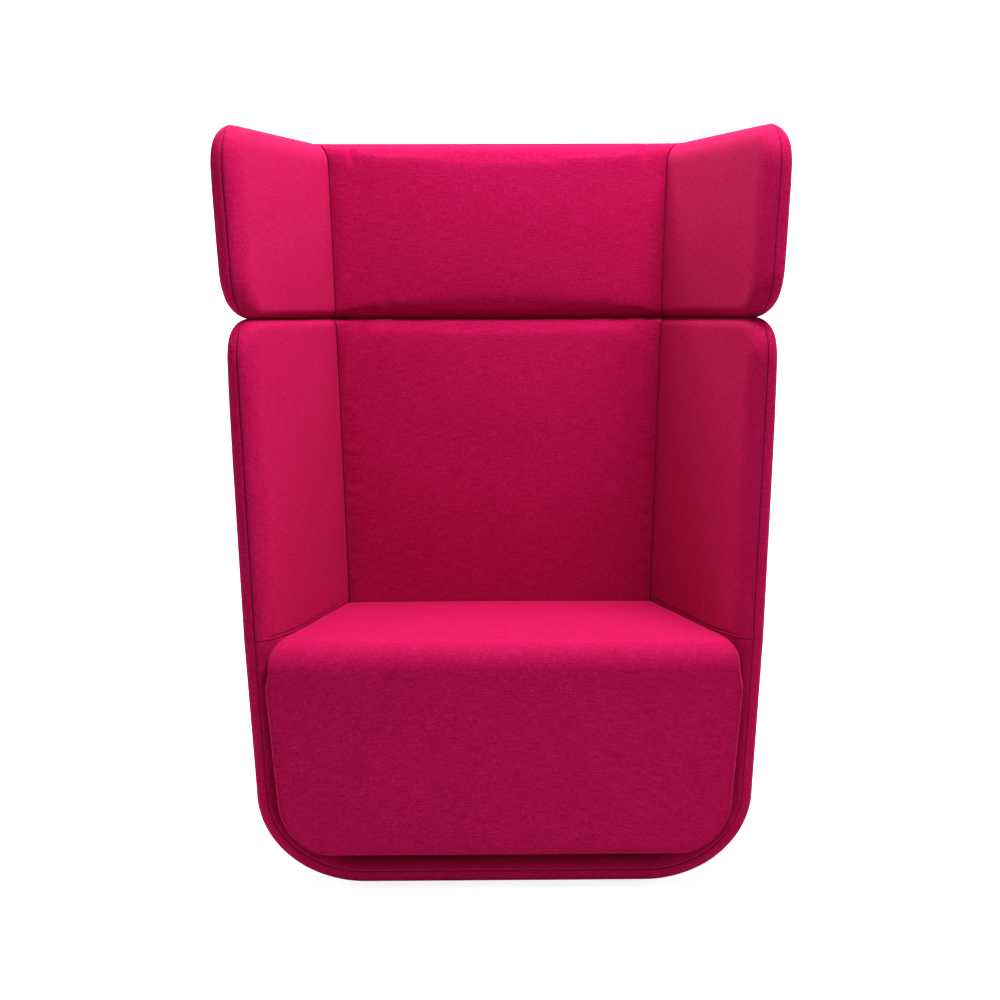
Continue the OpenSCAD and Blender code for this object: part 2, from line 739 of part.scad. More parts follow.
module webbing_crosswise() {
    span = strap_rear_p - strap_front_p - 2 * rail_t;
    pitch = span / straps_wide;
    color(felt_colour)
    for (i = [0:straps_wide - 1]) {
        p = strap_front_p + rail_t + pitch * (i + 1 / 2);
        half = rail_half(p + strap_w / 2);
        plan_prism([
            [-half, p - strap_w / 2],
            [half, p - strap_w / 2],
            [half, p + strap_w / 2],
            [-half, p + strap_w / 2]], deck_h + strap_t + 2 * gap, strap_t);
    }
}

// The seat: its cover runs from the foot of the front over the crest to the back
front_corner_h = front_low_h + front_corner_r;
seat_end_p = seat_depth - seat_rear_share * back_crown - gap;
foam_top_h = seat_h - seat_edge_drop - topper_edge_t - gap;
function foam_half(p) = face_x(p, webbing_top_h) - gap;
module seat_foam() {
    h = foam_top_h - webbing_top_h;
    front = front_board_p + (front_board_t + gap) / cos(lean) + h * tan(lean);
    rear = seat_end_p - gap;
    color(foam_colour)
    plan_prism([
        [-foam_half(front), front],
        [foam_half(front), front],
        [foam_half(rear), rear],
        [-foam_half(rear), rear]], webbing_top_h, h);
}

// Half width of the seat front at its bottom corner, where it is widest and at its crest
front_half_low = rim_half_low - corner_reveal;
front_half_top = rim_half(front_wide_h) - wide_reveal;
crest_half = rim_half(crest_h - crest_r) - crest_reveal;
// Half width of the seat front at a height
function front_half(z) =
    z < front_corner_h ? front_half_low - drawn_in(front_corner_r, z - front_low_h)
    : lookup(z, [
        [front_corner_h, front_half_low],
        [front_wide_h, front_half_top],
        [crest_h - crest_r, crest_half],
        [crest_h, crest_half]]);

function seat_side(p, z) = face_x(p, z - seat_edge_drop) - gap;

// Stations up the seat's profile: depth, height, half width and outward direction
front_stops = [for (a = [0:90 / corner_steps:90]) front_corner_r * (1 - cos(a))];
front_profile = concat(
    [for (d = front_stops) [0, front_low_h + d, front_half(front_low_h + d), 0]],
    [for (s = front_up_share)
        let (z = mix(front_corner_h, front_wide_h, s)) [0, z, front_half(z), 0]],
    [[0, front_wide_h, front_half_top, 0]],
    [for (a = [0:top_turn / corner_steps:top_turn]) [
        crest_r * (1 - cos(a)), crest_h - crest_r + crest_r * sin(a),
        mix(crest_half, seat_side(crest_r, crest_h), a / top_turn), a]],
    [for (s = seat_back_share)
        let (p = mix(crest_r, seat_end_p, s), z = mix(crest_h, seat_h, s))
        [p, z, seat_side(p, z), top_turn]],
    [for (d = turned(roll_stops(seat_rear_roll))) [
        seat_end_p - d, seat_h, seat_side(seat_end_p - d, seat_h), top_turn]]);
seat_rows = len(front_profile);

function front_swell(z) =
    front_bulge_depth * max(hump((z - front_low_h) / (front_wide_h - front_low_h)), 0);

// The middle of the chair's depth
front_y = min([for (q = front_profile) if (q[3] == 0 && q[1] > front_low_h + front_edge_roll)
    q[1] * tan(lean) - front_swell(q[1])]);
back_y = rear_p + (overall_h - outer_top_roll) * tan(lean);
mid_y = (front_y + back_y) / 2;

// A point of the seat cover: row j up the profile, u from -1 to 1, t under the surface
seat_turns = roll_stops(1);
function seat_point(j, side, d, t) =
    let (
        q = front_profile[j],
        half = q[2] - t,
        r = seat_edge_roll - t,
        x = side * (half - r * d),
        up_d = q[3] > 0 ? front_corner_r : min(q[1] - front_low_h, front_corner_r),
        rear_d = q[3] < top_turn ? seat_rear_roll : min(seat_end_p - q[0], seat_rear_roll),
        e = roll(1, d) * roll(front_edge_roll, up_d) * roll(seat_rear_roll, rear_d),
        across = 1 - pow(x / half, 2),
        along = q[3] < top_turn ? 0 :(q[0] - crest_r) / (seat_end_p - crest_r),
        crown = across * (seat_crown * hump(along) + (q[3] > 0 ? 0 : front_swell(q[1]))),
        sink = mix(seat_edge_drop, t - crown, e))
    leaned(x, q[0] + sink * cos(q[3]) - t * (1 - rear_d / seat_rear_roll),
        q[1] - sink * sin(q[3]) + t * (1 - up_d / front_corner_r));
function seat_grid(t) =
    let (n = len(seat_turns), m = len(seat_mid_share))
    [for (i = [0:2 * n + m - 1]) [for (j = [0:seat_rows - 1])
        i < n ? seat_point(j, -1, seat_turns[i], t)
        : i >= n + m ? seat_point(j, 1, seat_turns[2 * n + m - 1 - i], t)
        : seat_point(j, 1,
            (front_profile[j][2] - t) * (1 - seat_mid_share[i - n]) / (seat_edge_roll - t), t)]];
module seat_cover() {
    color(wool)
    solid_between(seat_grid(0), seat_grid(cover_t));
}
module seat_topper() {
    front = seat_rows - 10;
    rows = [for (r = seat_grid(foam_face_w)) [for (j = [front:seat_rows - 1]) r[j]]];
    base = [for (r = rows) [for (q = r) [q[0], q[1], foam_top_h + gap]]];
    color(foam_colour)
    solid_between(rows, base);
}

module seat_front_board() {
    rear = front_board_inset;
    corner = front_corner_r - rear;
    top = crest_h - crest_r;
    half_low = front_half_low - rear;
    half_top = front_half_top - rear;
    half = concat(
        [[front_half(top) - rear, top], [half_top, front_wide_h], [half_low, front_corner_h]],
        [for (a = [0:90 / corner_steps:90])
            [half_low - corner * (1 - cos(a)), front_corner_h - corner * sin(a)]]);
    color(ply_colour)
    lean_slab(front_board_p, front_board_t, concat(
        [for (q = half) [-q[0], q[1]]],
        [for (q = turned(half)) q]));
}
module seat_front_spacers() {
    p = front_board_p + (front_board_t + gap) / cos(lean);
    color(beech_colour)
    for (side = [-1, 1], x = [spacer_near_x, front_half_low - spacer_inset])
    translate([side * x, 0, 0])
    lean_slab(p, (bulkhead_p - p) * cos(lean) - gap, [
        [-spacer_w / 2, spacer_low_h],
        [spacer_w / 2, spacer_low_h],
        [spacer_w / 2, spacer_low_h + spacer_h],
        [-spacer_w / 2, spacer_low_h + spacer_h]]);
}

// The boards of the wall section and of the head section
function wall_outline(s, low) =
    let (
        corner_low = s[1] - outer_roll,
        corner_top = s[4] - outer_roll,
        front = rim_setback + outer_roll + gap,
        rear = tangent_p - gap,
        drop = outer_top_roll + gap)
    concat(
        [[rear, s[0] + low], [rear, section_top(s, rear) - drop]],
        [for (i = [0:corner_steps])
            let (
                a = 90 * i / corner_steps,
                p = front + corner_top * (1 - sin(a)))
            [p, section_top(s, p) - drop - corner_top * (1 - cos(a))]],
        s[1] > 0
            ? [for (i = [0:corner_steps])
                let (a = 90 * i / corner_steps)
                [front + corner_low * (1 - cos(a)), s[0] + low + corner_low * (1 - sin(a))]]
            : [[front, s[0] + low]]);
module wall_board(side) {
    mirrored(side) color(ply_colour)
    difference() {
        wall_slab(seam_h, split_h, board_w, board_t, wall_outline(wall_section, 0));
        side_bar_slots(seam_h, split_h);
    }
}
module wing_board(side) {
    mirrored(side) color(ply_colour)
    wall_slab(split_h, overall_h, board_w, board_t,
        wall_outline(head_section, outer_top_roll + gap));
}
module back_board_solid(low, high) {
    color(ply_colour)
    lean_slab(rear_p - board_in_w / cos(lean), board_t, [
        [-back_board_half(low), low],
        [back_board_half(low), low],
        [back_board_half(high), high],
        [-back_board_half(high), high]]);
}
module wall_back_board() {
    difference() {
        back_board_solid(seam_h + gap, split_h - outer_top_roll - gap);
        tub_back_slots();
        head_bar_slots();
    }
}
module head_back_board() {
    difference() {
        back_board_solid(split_h + outer_top_roll + gap, overall_h - outer_top_roll - gap);
        head_bar_slots();
    }
}
module wall_corner_strips() {
    for (side = [-1, 1]) corner_strip(side, seam_h + gap, split_h - outer_top_roll - gap);
}
module head_corner_strips() {
    top = section_top(head_section, tangent_p) - outer_top_roll - gap;
    for (side = [-1, 1]) corner_strip(side, split_h + outer_top_roll + gap, top);
}

// Link bars let into the boards, and their screws
module bar_across(len, room) {
    translate([-bar_w / 2 - room, -len / 2 - room, -bar_t - room / 10])
    cube([bar_w + 2 * room, len + 2 * room, bar_t + 2 * room]);
}
function bar_screws(len) = [for (s = [-1, 1], q = screw_shares) s * q * len / 2];
module screw(room) {
    rotate_extrude()
    polygon([
        [0, room > 0 ? screw_head_r : 0],
        [screw_head_r + room, room > 0 ? screw_head_r : 0],
        [screw_head_r + room, 0],
        [screw_r + room, -(screw_head_r - screw_r)],
        [screw_r + room, -screw_len - room],
        [0, -screw_len - room]]);
}
// Places a bar flush with the inner face of the back boards, across a joint at a height
module on_back(x, z) {
    translate([x, rear_p - board_in_w / cos(lean) - mid_y, 0])
    rotate([90 - lean, 0, 0])
    translate([0, z / cos(lean), 0])
    children();
}
// The same on a side wall's boards, at a depth along the joint
module on_side(z0, z1, p) {
    plane = wall_plane(z0, z1);
    at = leaned(outer_x(p, seam_h), p, seam_h) - plane[3] * board_in_w;
    multmatrix([
        [-plane[1][0], plane[2][0], -plane[3][0], at[0]],
        [-plane[1][1], plane[2][1], -plane[3][1], at[1]],
        [-plane[1][2], plane[2][2], -plane[3][2], at[2]],
        [0, 0, 0, 1]])
    children();
}
tub_bar_p = [for (s = tub_bar_shares) mix(bulkhead_p, tangent_p, s)];
module bar_slot(len) {
    bar_across(len, gap);
    for (y = bar_screws(len)) translate([0, y, 0])
    cylinder(r = screw_r + gap / 2, h = 2 * board_t + gap, center = true);
}
module head_bar_slots() {
    for (side = [-1, 1]) on_back(side * back_bar_x, split_h) bar_slot(head_bar_len);
}
module tub_back_slots() {
    for (side = [-1, 1]) on_back(side * back_bar_x, seam_h) bar_slot(wall_bar_len);
}
module side_bar_slots(z0, z1) {
    for (p = tub_bar_p) on_side(z0, z1, p) bar_slot(wall_bar_len);
}
module link_bar(len) {
    color(steel_colour)
    difference() {
        bar_across(len, 0);
        for (y = bar_screws(len)) translate([0, y, 0]) screw(gap / 4);
    }
}
// Each half of a side bar follows its own board's plane
module side_half_bar(upper) {
    z0 = upper ? seam_h : corner_top_h;
    z1 = upper ? split_h : seam_h;
    for (p = tub_bar_p) on_side(z0, z1, p)
    intersection() {
        link_bar(wall_bar_len);
        translate([-bar_w, upper ? 0 : -wall_bar_len, -bar_t - cut_over])
        cube([2 * bar_w, wall_bar_len, bar_t + 2 * cut_over]);
    }
}
module wall_link_bars() {
    for (side = [-1, 1]) {
        on_back(side * back_bar_x, seam_h) link_bar(wall_bar_len);
        mirrored(side) {
            side_half_bar(true);
            side_half_bar(false);
        }
    }
}
module head_link_bars() {
    for (side = [-1, 1]) on_back(side * back_bar_x, split_h) link_bar(head_bar_len);
}
module link_screws() {
    color(steel_colour)
    for (side = [-1, 1]) {
        on_back(side * back_bar_x, split_h)
        for (y = bar_screws(head_bar_len)) translate([0, y, 0]) screw(0);
        on_back(side * back_bar_x, seam_h)
        for (y = bar_screws(wall_bar_len)) translate([0, y, 0]) screw(0);
        mirrored(side) for (p = tub_bar_p) {
            on_side(seam_h, split_h, p)
            for (y = bar_screws(wall_bar_len)) if (y > 0) translate([0, y, 0]) screw(0);
            on_side(corner_top_h, seam_h, p)
            for (y = bar_screws(wall_bar_len)) if (y < 0) translate([0, y, 0]) screw(0);
        }
    }
}

// Pads and covers of the wall section and of the head section
back_low_h = seat_h - back_pad_drop;
module wall_foam(side) {
    mirrored(side) color(foam_colour) side_foam(wall_section, crease_roll);
}
module wall_pad(side) {
    mirrored(side) color(wool) side_pad(wall_section, crease_roll);
}
module wall_cover(side) {
    mirrored(side) color(wool_dark) side_cover(wall_section, 0);
}
module back_foam() {
    color(foam_colour) back_foam_solid(back_low_h, split_h - gap / 2, crease_roll);
}
module back_pad() {
    color(wool) back_pad_solid(back_low_h, split_h - gap / 2, crease_roll);
}
module wall_cover_back() {
    color(wool_dark) back_cover(wall_section, 0);
}
module wing_foam(side) {
    mirrored(side) color(foam_colour) side_foam(head_section, pad_roll);
}
module wing_pad(side) {
    mirrored(side) color(wool) side_pad(head_section, pad_roll);
}
module wing_cover(side) {
    mirrored(side) color(wool_dark) side_cover(head_section, outer_top_roll);
}
module head_foam() {
    color(foam_colour) back_foam_solid(split_h + gap / 2, overall_h, pad_roll);
}
module head_pad() {
    color(wool) back_pad_solid(split_h + gap / 2, overall_h, pad_roll);
}
module head_cover_back() {
    color(wool_dark) back_cover(head_section, outer_top_roll);
}

// Levelling glides and the threaded inserts that hold them
function glide_place(front, side) =
    let (p = front ? glide_front_p : seat_depth - glide_rear_before)
    [side * (flat_half(p) - glide_inset), p + floor_gap * tan(lean) - mid_y, 0];
module each_glide() {
    for (front = [true, false], side = [-1, 1]) translate(glide_place(front, side)) children();
}
insert_low_h = base_low_h - flange_t;
module glide_inserts() {
    color(steel_colour)
    each_glide() difference() {
        union() {
            translate([0, 0, insert_low_h]) cylinder(r = flange_r, h = flange_t);
            translate([0, 0, insert_low_h])
            cylinder(r = stud_r + stud_clear + barrel_t, h = flange_t + board_t);
        }
        cylinder(r = stud_r + stud_clear, h = overall_h);
    }
}
module glide(front, side) {
    hex_top = insert_low_h - gap / 10;
    color(nylon_colour)
    translate(glide_place(front, side)) {
        rotate_extrude() polygon([
            [0, 0],
            [glide_r - foot_edge, 0],
            [glide_r, foot_edge],
            [glide_r, foot_h - foot_edge],
            [glide_r - foot_edge, foot_h],
            [0, foot_h]]);
        cylinder(r = hex_r, h = hex_top, $fn = 6);
        cylinder(r = stud_r, h = stud_len);
    }
}

tub_cover();
underside_cloth();
rim_lining();
base_board();
tub_side_board(-1);  // tub_side_board_left
tub_side_board(1);  // tub_side_board_right
tub_side_pads();
tub_back_board();
bent_corner(-1);  // bent_corner_left
bent_corner(1);  // bent_corner_right
tub_corner_strips();
front_bulkhead();
rear_bulkhead();
front_rail();
rear_rail();
side_rails();
corner_blocks();
webbing_lengthwise();
webbing_crosswise();
seat_foam();
seat_topper();
seat_cover();
seat_front_board();
seat_front_spacers();
wall_link_bars();
wall_board(-1);  // wall_board_left
wall_board(1);  // wall_board_right
wall_back_board();
wall_corner_strips();
wall_foam(-1);  // wall_foam_left
wall_foam(1);  // wall_foam_right
back_foam();
wall_pad(-1);  // wall_pad_left
wall_pad(1);  // wall_pad_right
back_pad();
wall_cover(-1);  // wall_cover_left
wall_cover(1);  // wall_cover_right
wall_cover_back();
head_link_bars();
link_screws();
wing_board(-1);  // wing_board_left
wing_board(1);  // wing_board_right
head_back_board();
head_corner_strips();
wing_foam(-1);  // wing_foam_left
wing_foam(1);  // wing_foam_right
head_foam();
wing_pad(-1);  // wing_pad_left
wing_pad(1);  // wing_pad_right
head_pad();
wing_cover(-1);  // wing_cover_left
wing_cover(1);  // wing_cover_right
head_cover_back();
glide_inserts();
glide(true, -1);  // glide_front_left
glide(true, 1);  // glide_front_right
glide(false, -1);  // glide_rear_left
glide(false, 1);  // glide_rear_right
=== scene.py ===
"""The looks of a high back lounge chair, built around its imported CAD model.

Every length is in metres. A place in a wall is given by p, the depth behind the front of the
seat at floor level, z, the height, and w, how far it lies under the outer face; the lean then
tips p back with z. The upholstery is cut as grids of points in that space and sewn along seams
whose edges are tucked in. A cloth simulation swells the pads and the seat as foam does. The
covers, the linings and the cloth underneath keep the shapes that the formulas give them.
"""

import json
import math

import bmesh
import bpy
import numpy as np
from bpy.props import FloatProperty, FloatVectorProperty, IntProperty, PointerProperty, StringProperty
from mathutils import Matrix, Vector
from mathutils.bvhtree import BVHTree


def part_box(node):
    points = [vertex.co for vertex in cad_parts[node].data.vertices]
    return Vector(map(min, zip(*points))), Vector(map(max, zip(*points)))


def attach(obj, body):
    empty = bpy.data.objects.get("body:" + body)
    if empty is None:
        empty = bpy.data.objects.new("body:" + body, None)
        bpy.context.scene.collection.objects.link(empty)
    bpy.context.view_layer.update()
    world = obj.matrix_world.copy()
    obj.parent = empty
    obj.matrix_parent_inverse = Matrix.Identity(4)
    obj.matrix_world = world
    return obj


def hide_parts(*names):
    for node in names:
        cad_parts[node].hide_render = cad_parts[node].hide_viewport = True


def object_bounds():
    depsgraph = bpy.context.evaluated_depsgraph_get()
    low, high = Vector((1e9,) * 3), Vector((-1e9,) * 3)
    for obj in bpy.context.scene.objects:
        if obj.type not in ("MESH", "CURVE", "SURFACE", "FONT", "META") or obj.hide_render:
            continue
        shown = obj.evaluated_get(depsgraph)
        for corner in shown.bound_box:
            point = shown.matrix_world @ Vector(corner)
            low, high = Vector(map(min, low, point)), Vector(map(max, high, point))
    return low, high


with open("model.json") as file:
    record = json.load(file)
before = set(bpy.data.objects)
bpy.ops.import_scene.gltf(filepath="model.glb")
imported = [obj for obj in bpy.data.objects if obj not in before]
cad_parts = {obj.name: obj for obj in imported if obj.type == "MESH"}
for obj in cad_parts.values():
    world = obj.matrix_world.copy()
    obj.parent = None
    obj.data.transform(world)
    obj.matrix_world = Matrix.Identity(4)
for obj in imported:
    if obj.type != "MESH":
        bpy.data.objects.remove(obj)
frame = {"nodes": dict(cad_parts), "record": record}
CAD_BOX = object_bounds()

bl_info = {
    "name": "High back lounge chair",
    "version": (1, 0, 0),
    "blender": (4, 5, 0),
    "location": "3D View > Sidebar > Lounge chair",
    "description": "Builds the upholstery, seams and finishes of a high back lounge chair",
    "category": "Object",
}


# Sizes and colours


def length(name, value, description):
    """A length that a user may change."""
    return FloatProperty(name=name, description=description, default=value, unit="LENGTH", precision=4)


def angle(name, degrees, description):
    """An angle that a user may change."""
    return FloatProperty(
        name=name, description=description, default=math.radians(degrees), unit="ROTATION")


class ChairSizes(bpy.types.PropertyGroup):
    """Sizes of the upholstered shell."""

    overall_h: length("Back height", CAD_BOX[1][2], "Height of the head section's back")
    wing_tip_h: length("Wing tip height", 1.3185, "Height of the wing tips at the front")
    split_h: length("Head joint height", 0.978, "Joint between the walls and the head section")
    seam_h: length("Tub seam height", 0.424, "Sewn joint between the tub and the walls")
    seam_dip: length("Tub seam dip", 0.009, "How far the seam falls between the rim and the back")
    floor_gap: length("Floor gap", 0.0125, "Gap between the tub and the floor")
    lean: angle("Lean", 6, "Backward lean of the rim and the back")
    splay: angle("Splay", 11.75, "Turn of each side wall towards the middle at the back")
    rim_half_low: length("Rim half width, low", 0.428, "Where the bottom corner starts")
    rim_half_seam: length("Rim half width, seam", 0.449, "At the tub's seam")
    rim_half_split: length("Rim half width, joint", 0.483, "At the head joint")
    rim_half_top: length("Rim half width, top", 0.510, "At the top of the wings")
    seat_depth: length("Seat depth", 0.559, "From the seat's front to the back's face")
    rim_setback: length("Rim setback", 0.022, "Rim behind the seat's front")
    rear_corner_r: length("Rear corner radius", 0.040, "Plan radius of the outer rear corners")
    wall_t: length("Wall thickness", 0.044, "Walls at the rim, and the back")
    root_t_seam: length("Root thickness, seam", 0.035, "Side walls against the back")
    root_t_split: length("Root thickness, joint", 0.0445, "Side walls against the back")
    root_t_top: length("Root thickness, top", 0.056, "Side walls against the back")
    seam_w: length("Rim seam depth", 0.018, "Rim seam under the outer face")
    cover_t: length("Cover thickness", 0.0055, "Covers with their wadding")
    gap: length("Gap", 0.0003, "Clearance between sewn pieces")
    outer_roll: length("Rim rounding, outer", 0.016, "Rounding of the covers along the rim")
    outer_top_roll: length("Top rounding, outer", 0.022, "Rounding of the covers along the top")
    pad_roll: length("Rim rounding, inner", 0.026, "Rounding of the pads along the rim")
    joint_roll: length("Joint rounding", 0.0115, "Rounding along the head joint")
    joint_press: length("Joint press", 0.0002, "How far the two sections press into each other")
    crease_roll: length("Crease rounding", 0.0018, "Rounding of the pads in the inner corners")
    seam_roll: length("Seam rounding", 0.0014, "Rounding of the side pads along the tub's seam")
    belly_low: length("Belly, walls", 0.006, "Outward swelling of the tub's and the walls' covers")
    belly_head: length("Belly, head", 0.0078, "Outward swelling of the wings' covers")
    belly_foot: length("Belly foot", -0.10, "Height from which the lower belly is reckoned")
    wall_corner_r: length("Wall corner radius", 0.072, "Walls at the front of the joint")
    wing_corner_low_r: length("Wing corner radius, low", 0.078, "Lower front corners")
    wing_corner_top_r: length("Wing corner radius, top", 0.078, "Upper front corners")
    side_crown: length("Side crown", 0.004, "Crown of the side pads")
    back_crown: length("Back crown", 0.009, "Crown of the back pads")
    corner_a: length("Bottom corner width", 0.185, "Rounded bottom corner of the tub")
    corner_b: length("Bottom corner height", 0.155, "Rounded bottom corner of the tub")
    lining_depth: length("Lining depth", 0.048, "Lining behind the rim")
    under_margin: length("Under margin", 0.030, "Cover that turns in under the tub")


class SeatSizes(bpy.types.PropertyGroup):
    """Sizes of the seat block."""

    seat_h: length("Seat height", 0.415, "At the back")
    crest_h: length("Crest height", 0.421, "Front crest")
    crest_r: length("Crest radius", 0.050, "Front crest")
    crest_half: length("Crest half width", 0.407, "Front crest")
    front_half_top: length("Front half width, top", 0.412, "At its widest")
    front_half_low: length("Front half width, low", 0.392, "Where the bottom corner starts")
    front_wide_h: length("Widest height", 0.345, "Height at which the front is widest")
    front_low_h: length("Front low edge", 0.061, "Height of the front's lower edge")
    front_corner_r: length("Front corner radius", 0.100, "Bottom corners of the front")
    seat_crown: length("Seat crown", 0.010, "Crown of the seat's top")
    front_bulge: length("Front bulge", 0.003, "Bulge of the seat's front")
    front_edge_roll: length("Front edge rounding", 0.0060, "Rounding of the front's edges")
    crest_end_roll: length("Crest end rounding", 0.010, "Rounding of the crest's ends")
    side_roll: length("Side rounding", 0.006, "Rounding of the top's sides")
    side_fade: length("Side fade", 0.060, "Depth over which the crest's rounding gives way to the sides'")
    edge_drop: length("Edge depth", 0.019, "Depth of the seat's edges")
    edge_return: length("Edge return", 0.026, "How far the cover goes back beyond the edges")
    rear_roll: length("Rear rounding", 0.014, "Rounding of the seat's rear edge")
    hem: length("Hem width", 0.0075, "Topstitched seam inside the front's edge")


class SewingSizes(bpy.types.PropertyGroup):
    """How the covers are sewn and how the fabric lies."""

    spread: FloatProperty(
        name="Edge softness", description="How far foam draws a rounded edge out, 1 for a circle",
        default=1.9)
    tuck: length("Tuck", 0.0012, "How far the edges are pulled in along a seam")
    lip: length("Lip", 0.0024, "Width of the fabric that the seam pulls in")
    pucker: length("Pucker", 0.00035, "Height of the puckers beside a seam")
    pucker_pitch: length("Pucker pitch", 0.0240, "Distance between puckers")
    channel: length("Channel", 0.0009, "Depth to which topstitching pulls the fabric")
    channel_w: length("Channel width", 0.0014, "Half width of the channel beside topstitching")
    felled: length("Felled seam", 0.0050, "Topstitching beside the tub's seam")
    stitch: length("Stitch length", 0.0036, "Length of one topstitch")
    stitch_pitch: length("Stitch pitch", 0.0050, "From one topstitch to the next")
    thread_r: length("Thread radius", 0.00038, "Radius of the sewing thread")
    cell: length("Mesh cell", 0.0090, "Size of a cell of the cut fabric")
    swell_cap: length("Swell cap", 0.0040, "Furthest that the simulation may move a point")
    pressure: FloatProperty(name="Pressure", description="Push of the foam on the fabric", default=4.0)
    frames: IntProperty(name="Frames", description="Steps of the cloth simulation", default=20)


def paint(name, code, description):
    """A colour that a user may change, written as sRGB hex."""
    return StringProperty(name=name, description=description, default=code)


class ChairColours(bpy.types.PropertyGroup):
    """Colours as sRGB hex."""

    wool: paint("Wool", "#9A043C", "Wool upholstery")
    wool_light: paint("Wool, light yarn", "#BA1C5E", "Paler yarn in the weave")
    wool_dark: paint("Wool, dark yarn", "#78002C", "Deeper yarn in the weave")
    nap: paint("Wool, nap", "#F63278", "Fibre ends that stand off the weave")
    # Darker than the wool: partly the thread's own colour, partly painted shade for the shadow round
    # stitches sunk in the fabric.
    thread: paint("Thread", "#4A001A", "Sewing thread")
    plywood: paint("Plywood", "#D8BE92", "Birch plywood")
    beech: paint("Beech", "#C79A6B", "Beech rails")
    steel: paint("Steel", "#B4B7BA", "Zinc plated steel")
    webbing: paint("Webbing", "#2A2A2C", "Elastic webbing")
    base_cloth: paint("Base cloth", "#202022", "Nonwoven cloth under the tub")
    nylon: paint("Nylon", "#1B1B1D", "Moulded nylon feet")
    paper: paint("Studio floor", "#DCDCDC", "Paper floor and backdrop")


class StageSizes(bpy.types.PropertyGroup):
    """Camera and light of the studio."""

    eye: FloatVectorProperty(
        name="Camera", description="Place of the camera", default=(-0.0510, -3.6214, 0.9896),
        unit="LENGTH")
    turn: angle("Camera turn", 0.769, "Turn of the camera towards +X")
    tilt: angle("Camera tilt", 5.539, "Downward tilt of the camera")
    roll: angle("Camera roll", -0.199, "Roll of the camera")
    lens: FloatProperty(
        name="Lens", description="Focal length in millimetres on a 36 mm sensor", default=70.0)
    key: FloatProperty(name="Key light", description="Power of the key light", default=34.0)
    top: FloatProperty(name="Top light", description="Power of the overhead light", default=200.0)
    fill: FloatProperty(name="Fill light", description="Power of the fill light", default=2.5)
    sides: FloatProperty(name="Side lights", description="Power of each side light", default=34.0)
    paper_glow: FloatProperty(
        name="Paper glow", description="Light that the camera sees added to the paper", default=0.87)
    sky: FloatProperty(name="Ambient light", description="Strength of the world", default=0.155)


def chair():
    return bpy.context.scene.chair_sizes


def seat():
    return bpy.context.scene.seat_sizes


def sewing():
    return bpy.context.scene.sewing_sizes


def colours():
    return bpy.context.scene.chair_colours


# The chair's surfaces

# Points round a bottom corner of the tub, and round a rear corner.
TUB_TURNS = 27
REAR_TURNS = 9
# How far under the back's height its rounded top edge reaches furthest back.
TOP_EDGE_DROP = 0.030
# The tub's seam falls over this many depths of the rim's lining.
SEAM_FALL = 4
# How evenly the belly keeps its depth between seam and joint: a higher power is flatter.
BELLY_POWER_WALLS, BELLY_POWER_WINGS = 6, 4
# A distance beyond the reach of every edge and seam.
FAR = 9.0
# Rows of topstitching: the piece and the points along it.
TOPSTITCH = []


def mix(a, b, share):
    return a + (b - a) * share


def hump(share):
    """A smooth hump over a share from 0 to 1."""
    return 4 * share * (1 - share)


def drawn_in(radius, distance):
    """How far a rounded corner draws an edge in, at a distance from the corner's end."""
    d = np.clip(distance, 0, radius)
    return radius - np.sqrt(np.maximum(radius**2 - (radius - d) ** 2, 0))


def corner_top_h():
    """Height at which the tub's bottom corners end."""
    return chair().floor_gap + chair().corner_b


def rear_p():
    """Depth of the back's outer face."""
    return chair().seat_depth + chair().wall_t / math.cos(chair().lean)


def inner_rear_p():
    """Depth at which the pads are sewn to the back's cover."""
    return rear_p() - (chair().seam_w + chair().gap) / math.cos(chair().lean)


def corner_p():
    """Depth of the rear corners' centres."""
    return rear_p() - chair().rear_corner_r


def mid_y():
    """The depth of the row frame's origin, from the CAD box: the back's top edge is furthest back."""
    c = chair()
    return rear_p() + (c.overall_h - TOP_EDGE_DROP) * math.tan(c.lean) - CAD_BOX[1][1]


def rim_half(z):
    """Half the width over the rim."""
    c = chair()
    heights = [corner_top_h(), c.seam_h, c.split_h, c.overall_h]
    return np.interp(z, heights, [c.rim_half_low, c.rim_half_seam, c.rim_half_split, c.rim_half_top])


def root_t(z):
    """Thickness of the side walls where they meet the back."""
    c = chair()
    return np.interp(z, [c.seam_h, c.split_h, c.overall_h], [c.root_t_seam, c.root_t_split, c.root_t_top])


def outer_x(p, z):
    """Distance of a side wall's outer face from the middle."""
    return rim_half(z) - (p - chair().rim_setback) * math.tan(chair().splay)


def side_k():
    """What a thickness of the splayed walls measures across the chair, as a factor."""
    return 1 / math.cos(chair().splay)


def face_x(p, z):
    """Distance of a side wall's inner face from the middle."""
    c = chair()
    share = (p - c.rim_setback) / (c.seat_depth - c.rim_setback)
    return mix(rim_half(z) - c.wall_t * side_k(), outer_x(c.seat_depth, z) - root_t(z), share)


def belly(p, z):
    """How far the foam swells the covers' outer faces, most near the rim and least at the joint."""
    c = chair()
    back = np.clip((p - c.rim_setback) / (corner_p() - c.rim_setback), 0, 1)
    low = np.clip((z - c.belly_foot) / (c.split_h - c.belly_foot), 0, 1)
    high = np.clip((z - c.split_h) / (c.wing_tip_h - c.split_h), 0, 1)
    walls = c.belly_low * (1 - (2 * low - 1) ** BELLY_POWER_WALLS)
    wings = c.belly_head * (1 - (2 * high - 1) ** BELLY_POWER_WINGS)
    return np.where(z < c.split_h, walls, wings) * (1 - back**2)


def leaned(x, p, z):
    """Points of the row frame from places in the shell."""
    x, p, z = np.broadcast_arrays(x, p, z)
    return np.stack([x, p + z * math.tan(chair().lean) - mid_y(), z], -1)


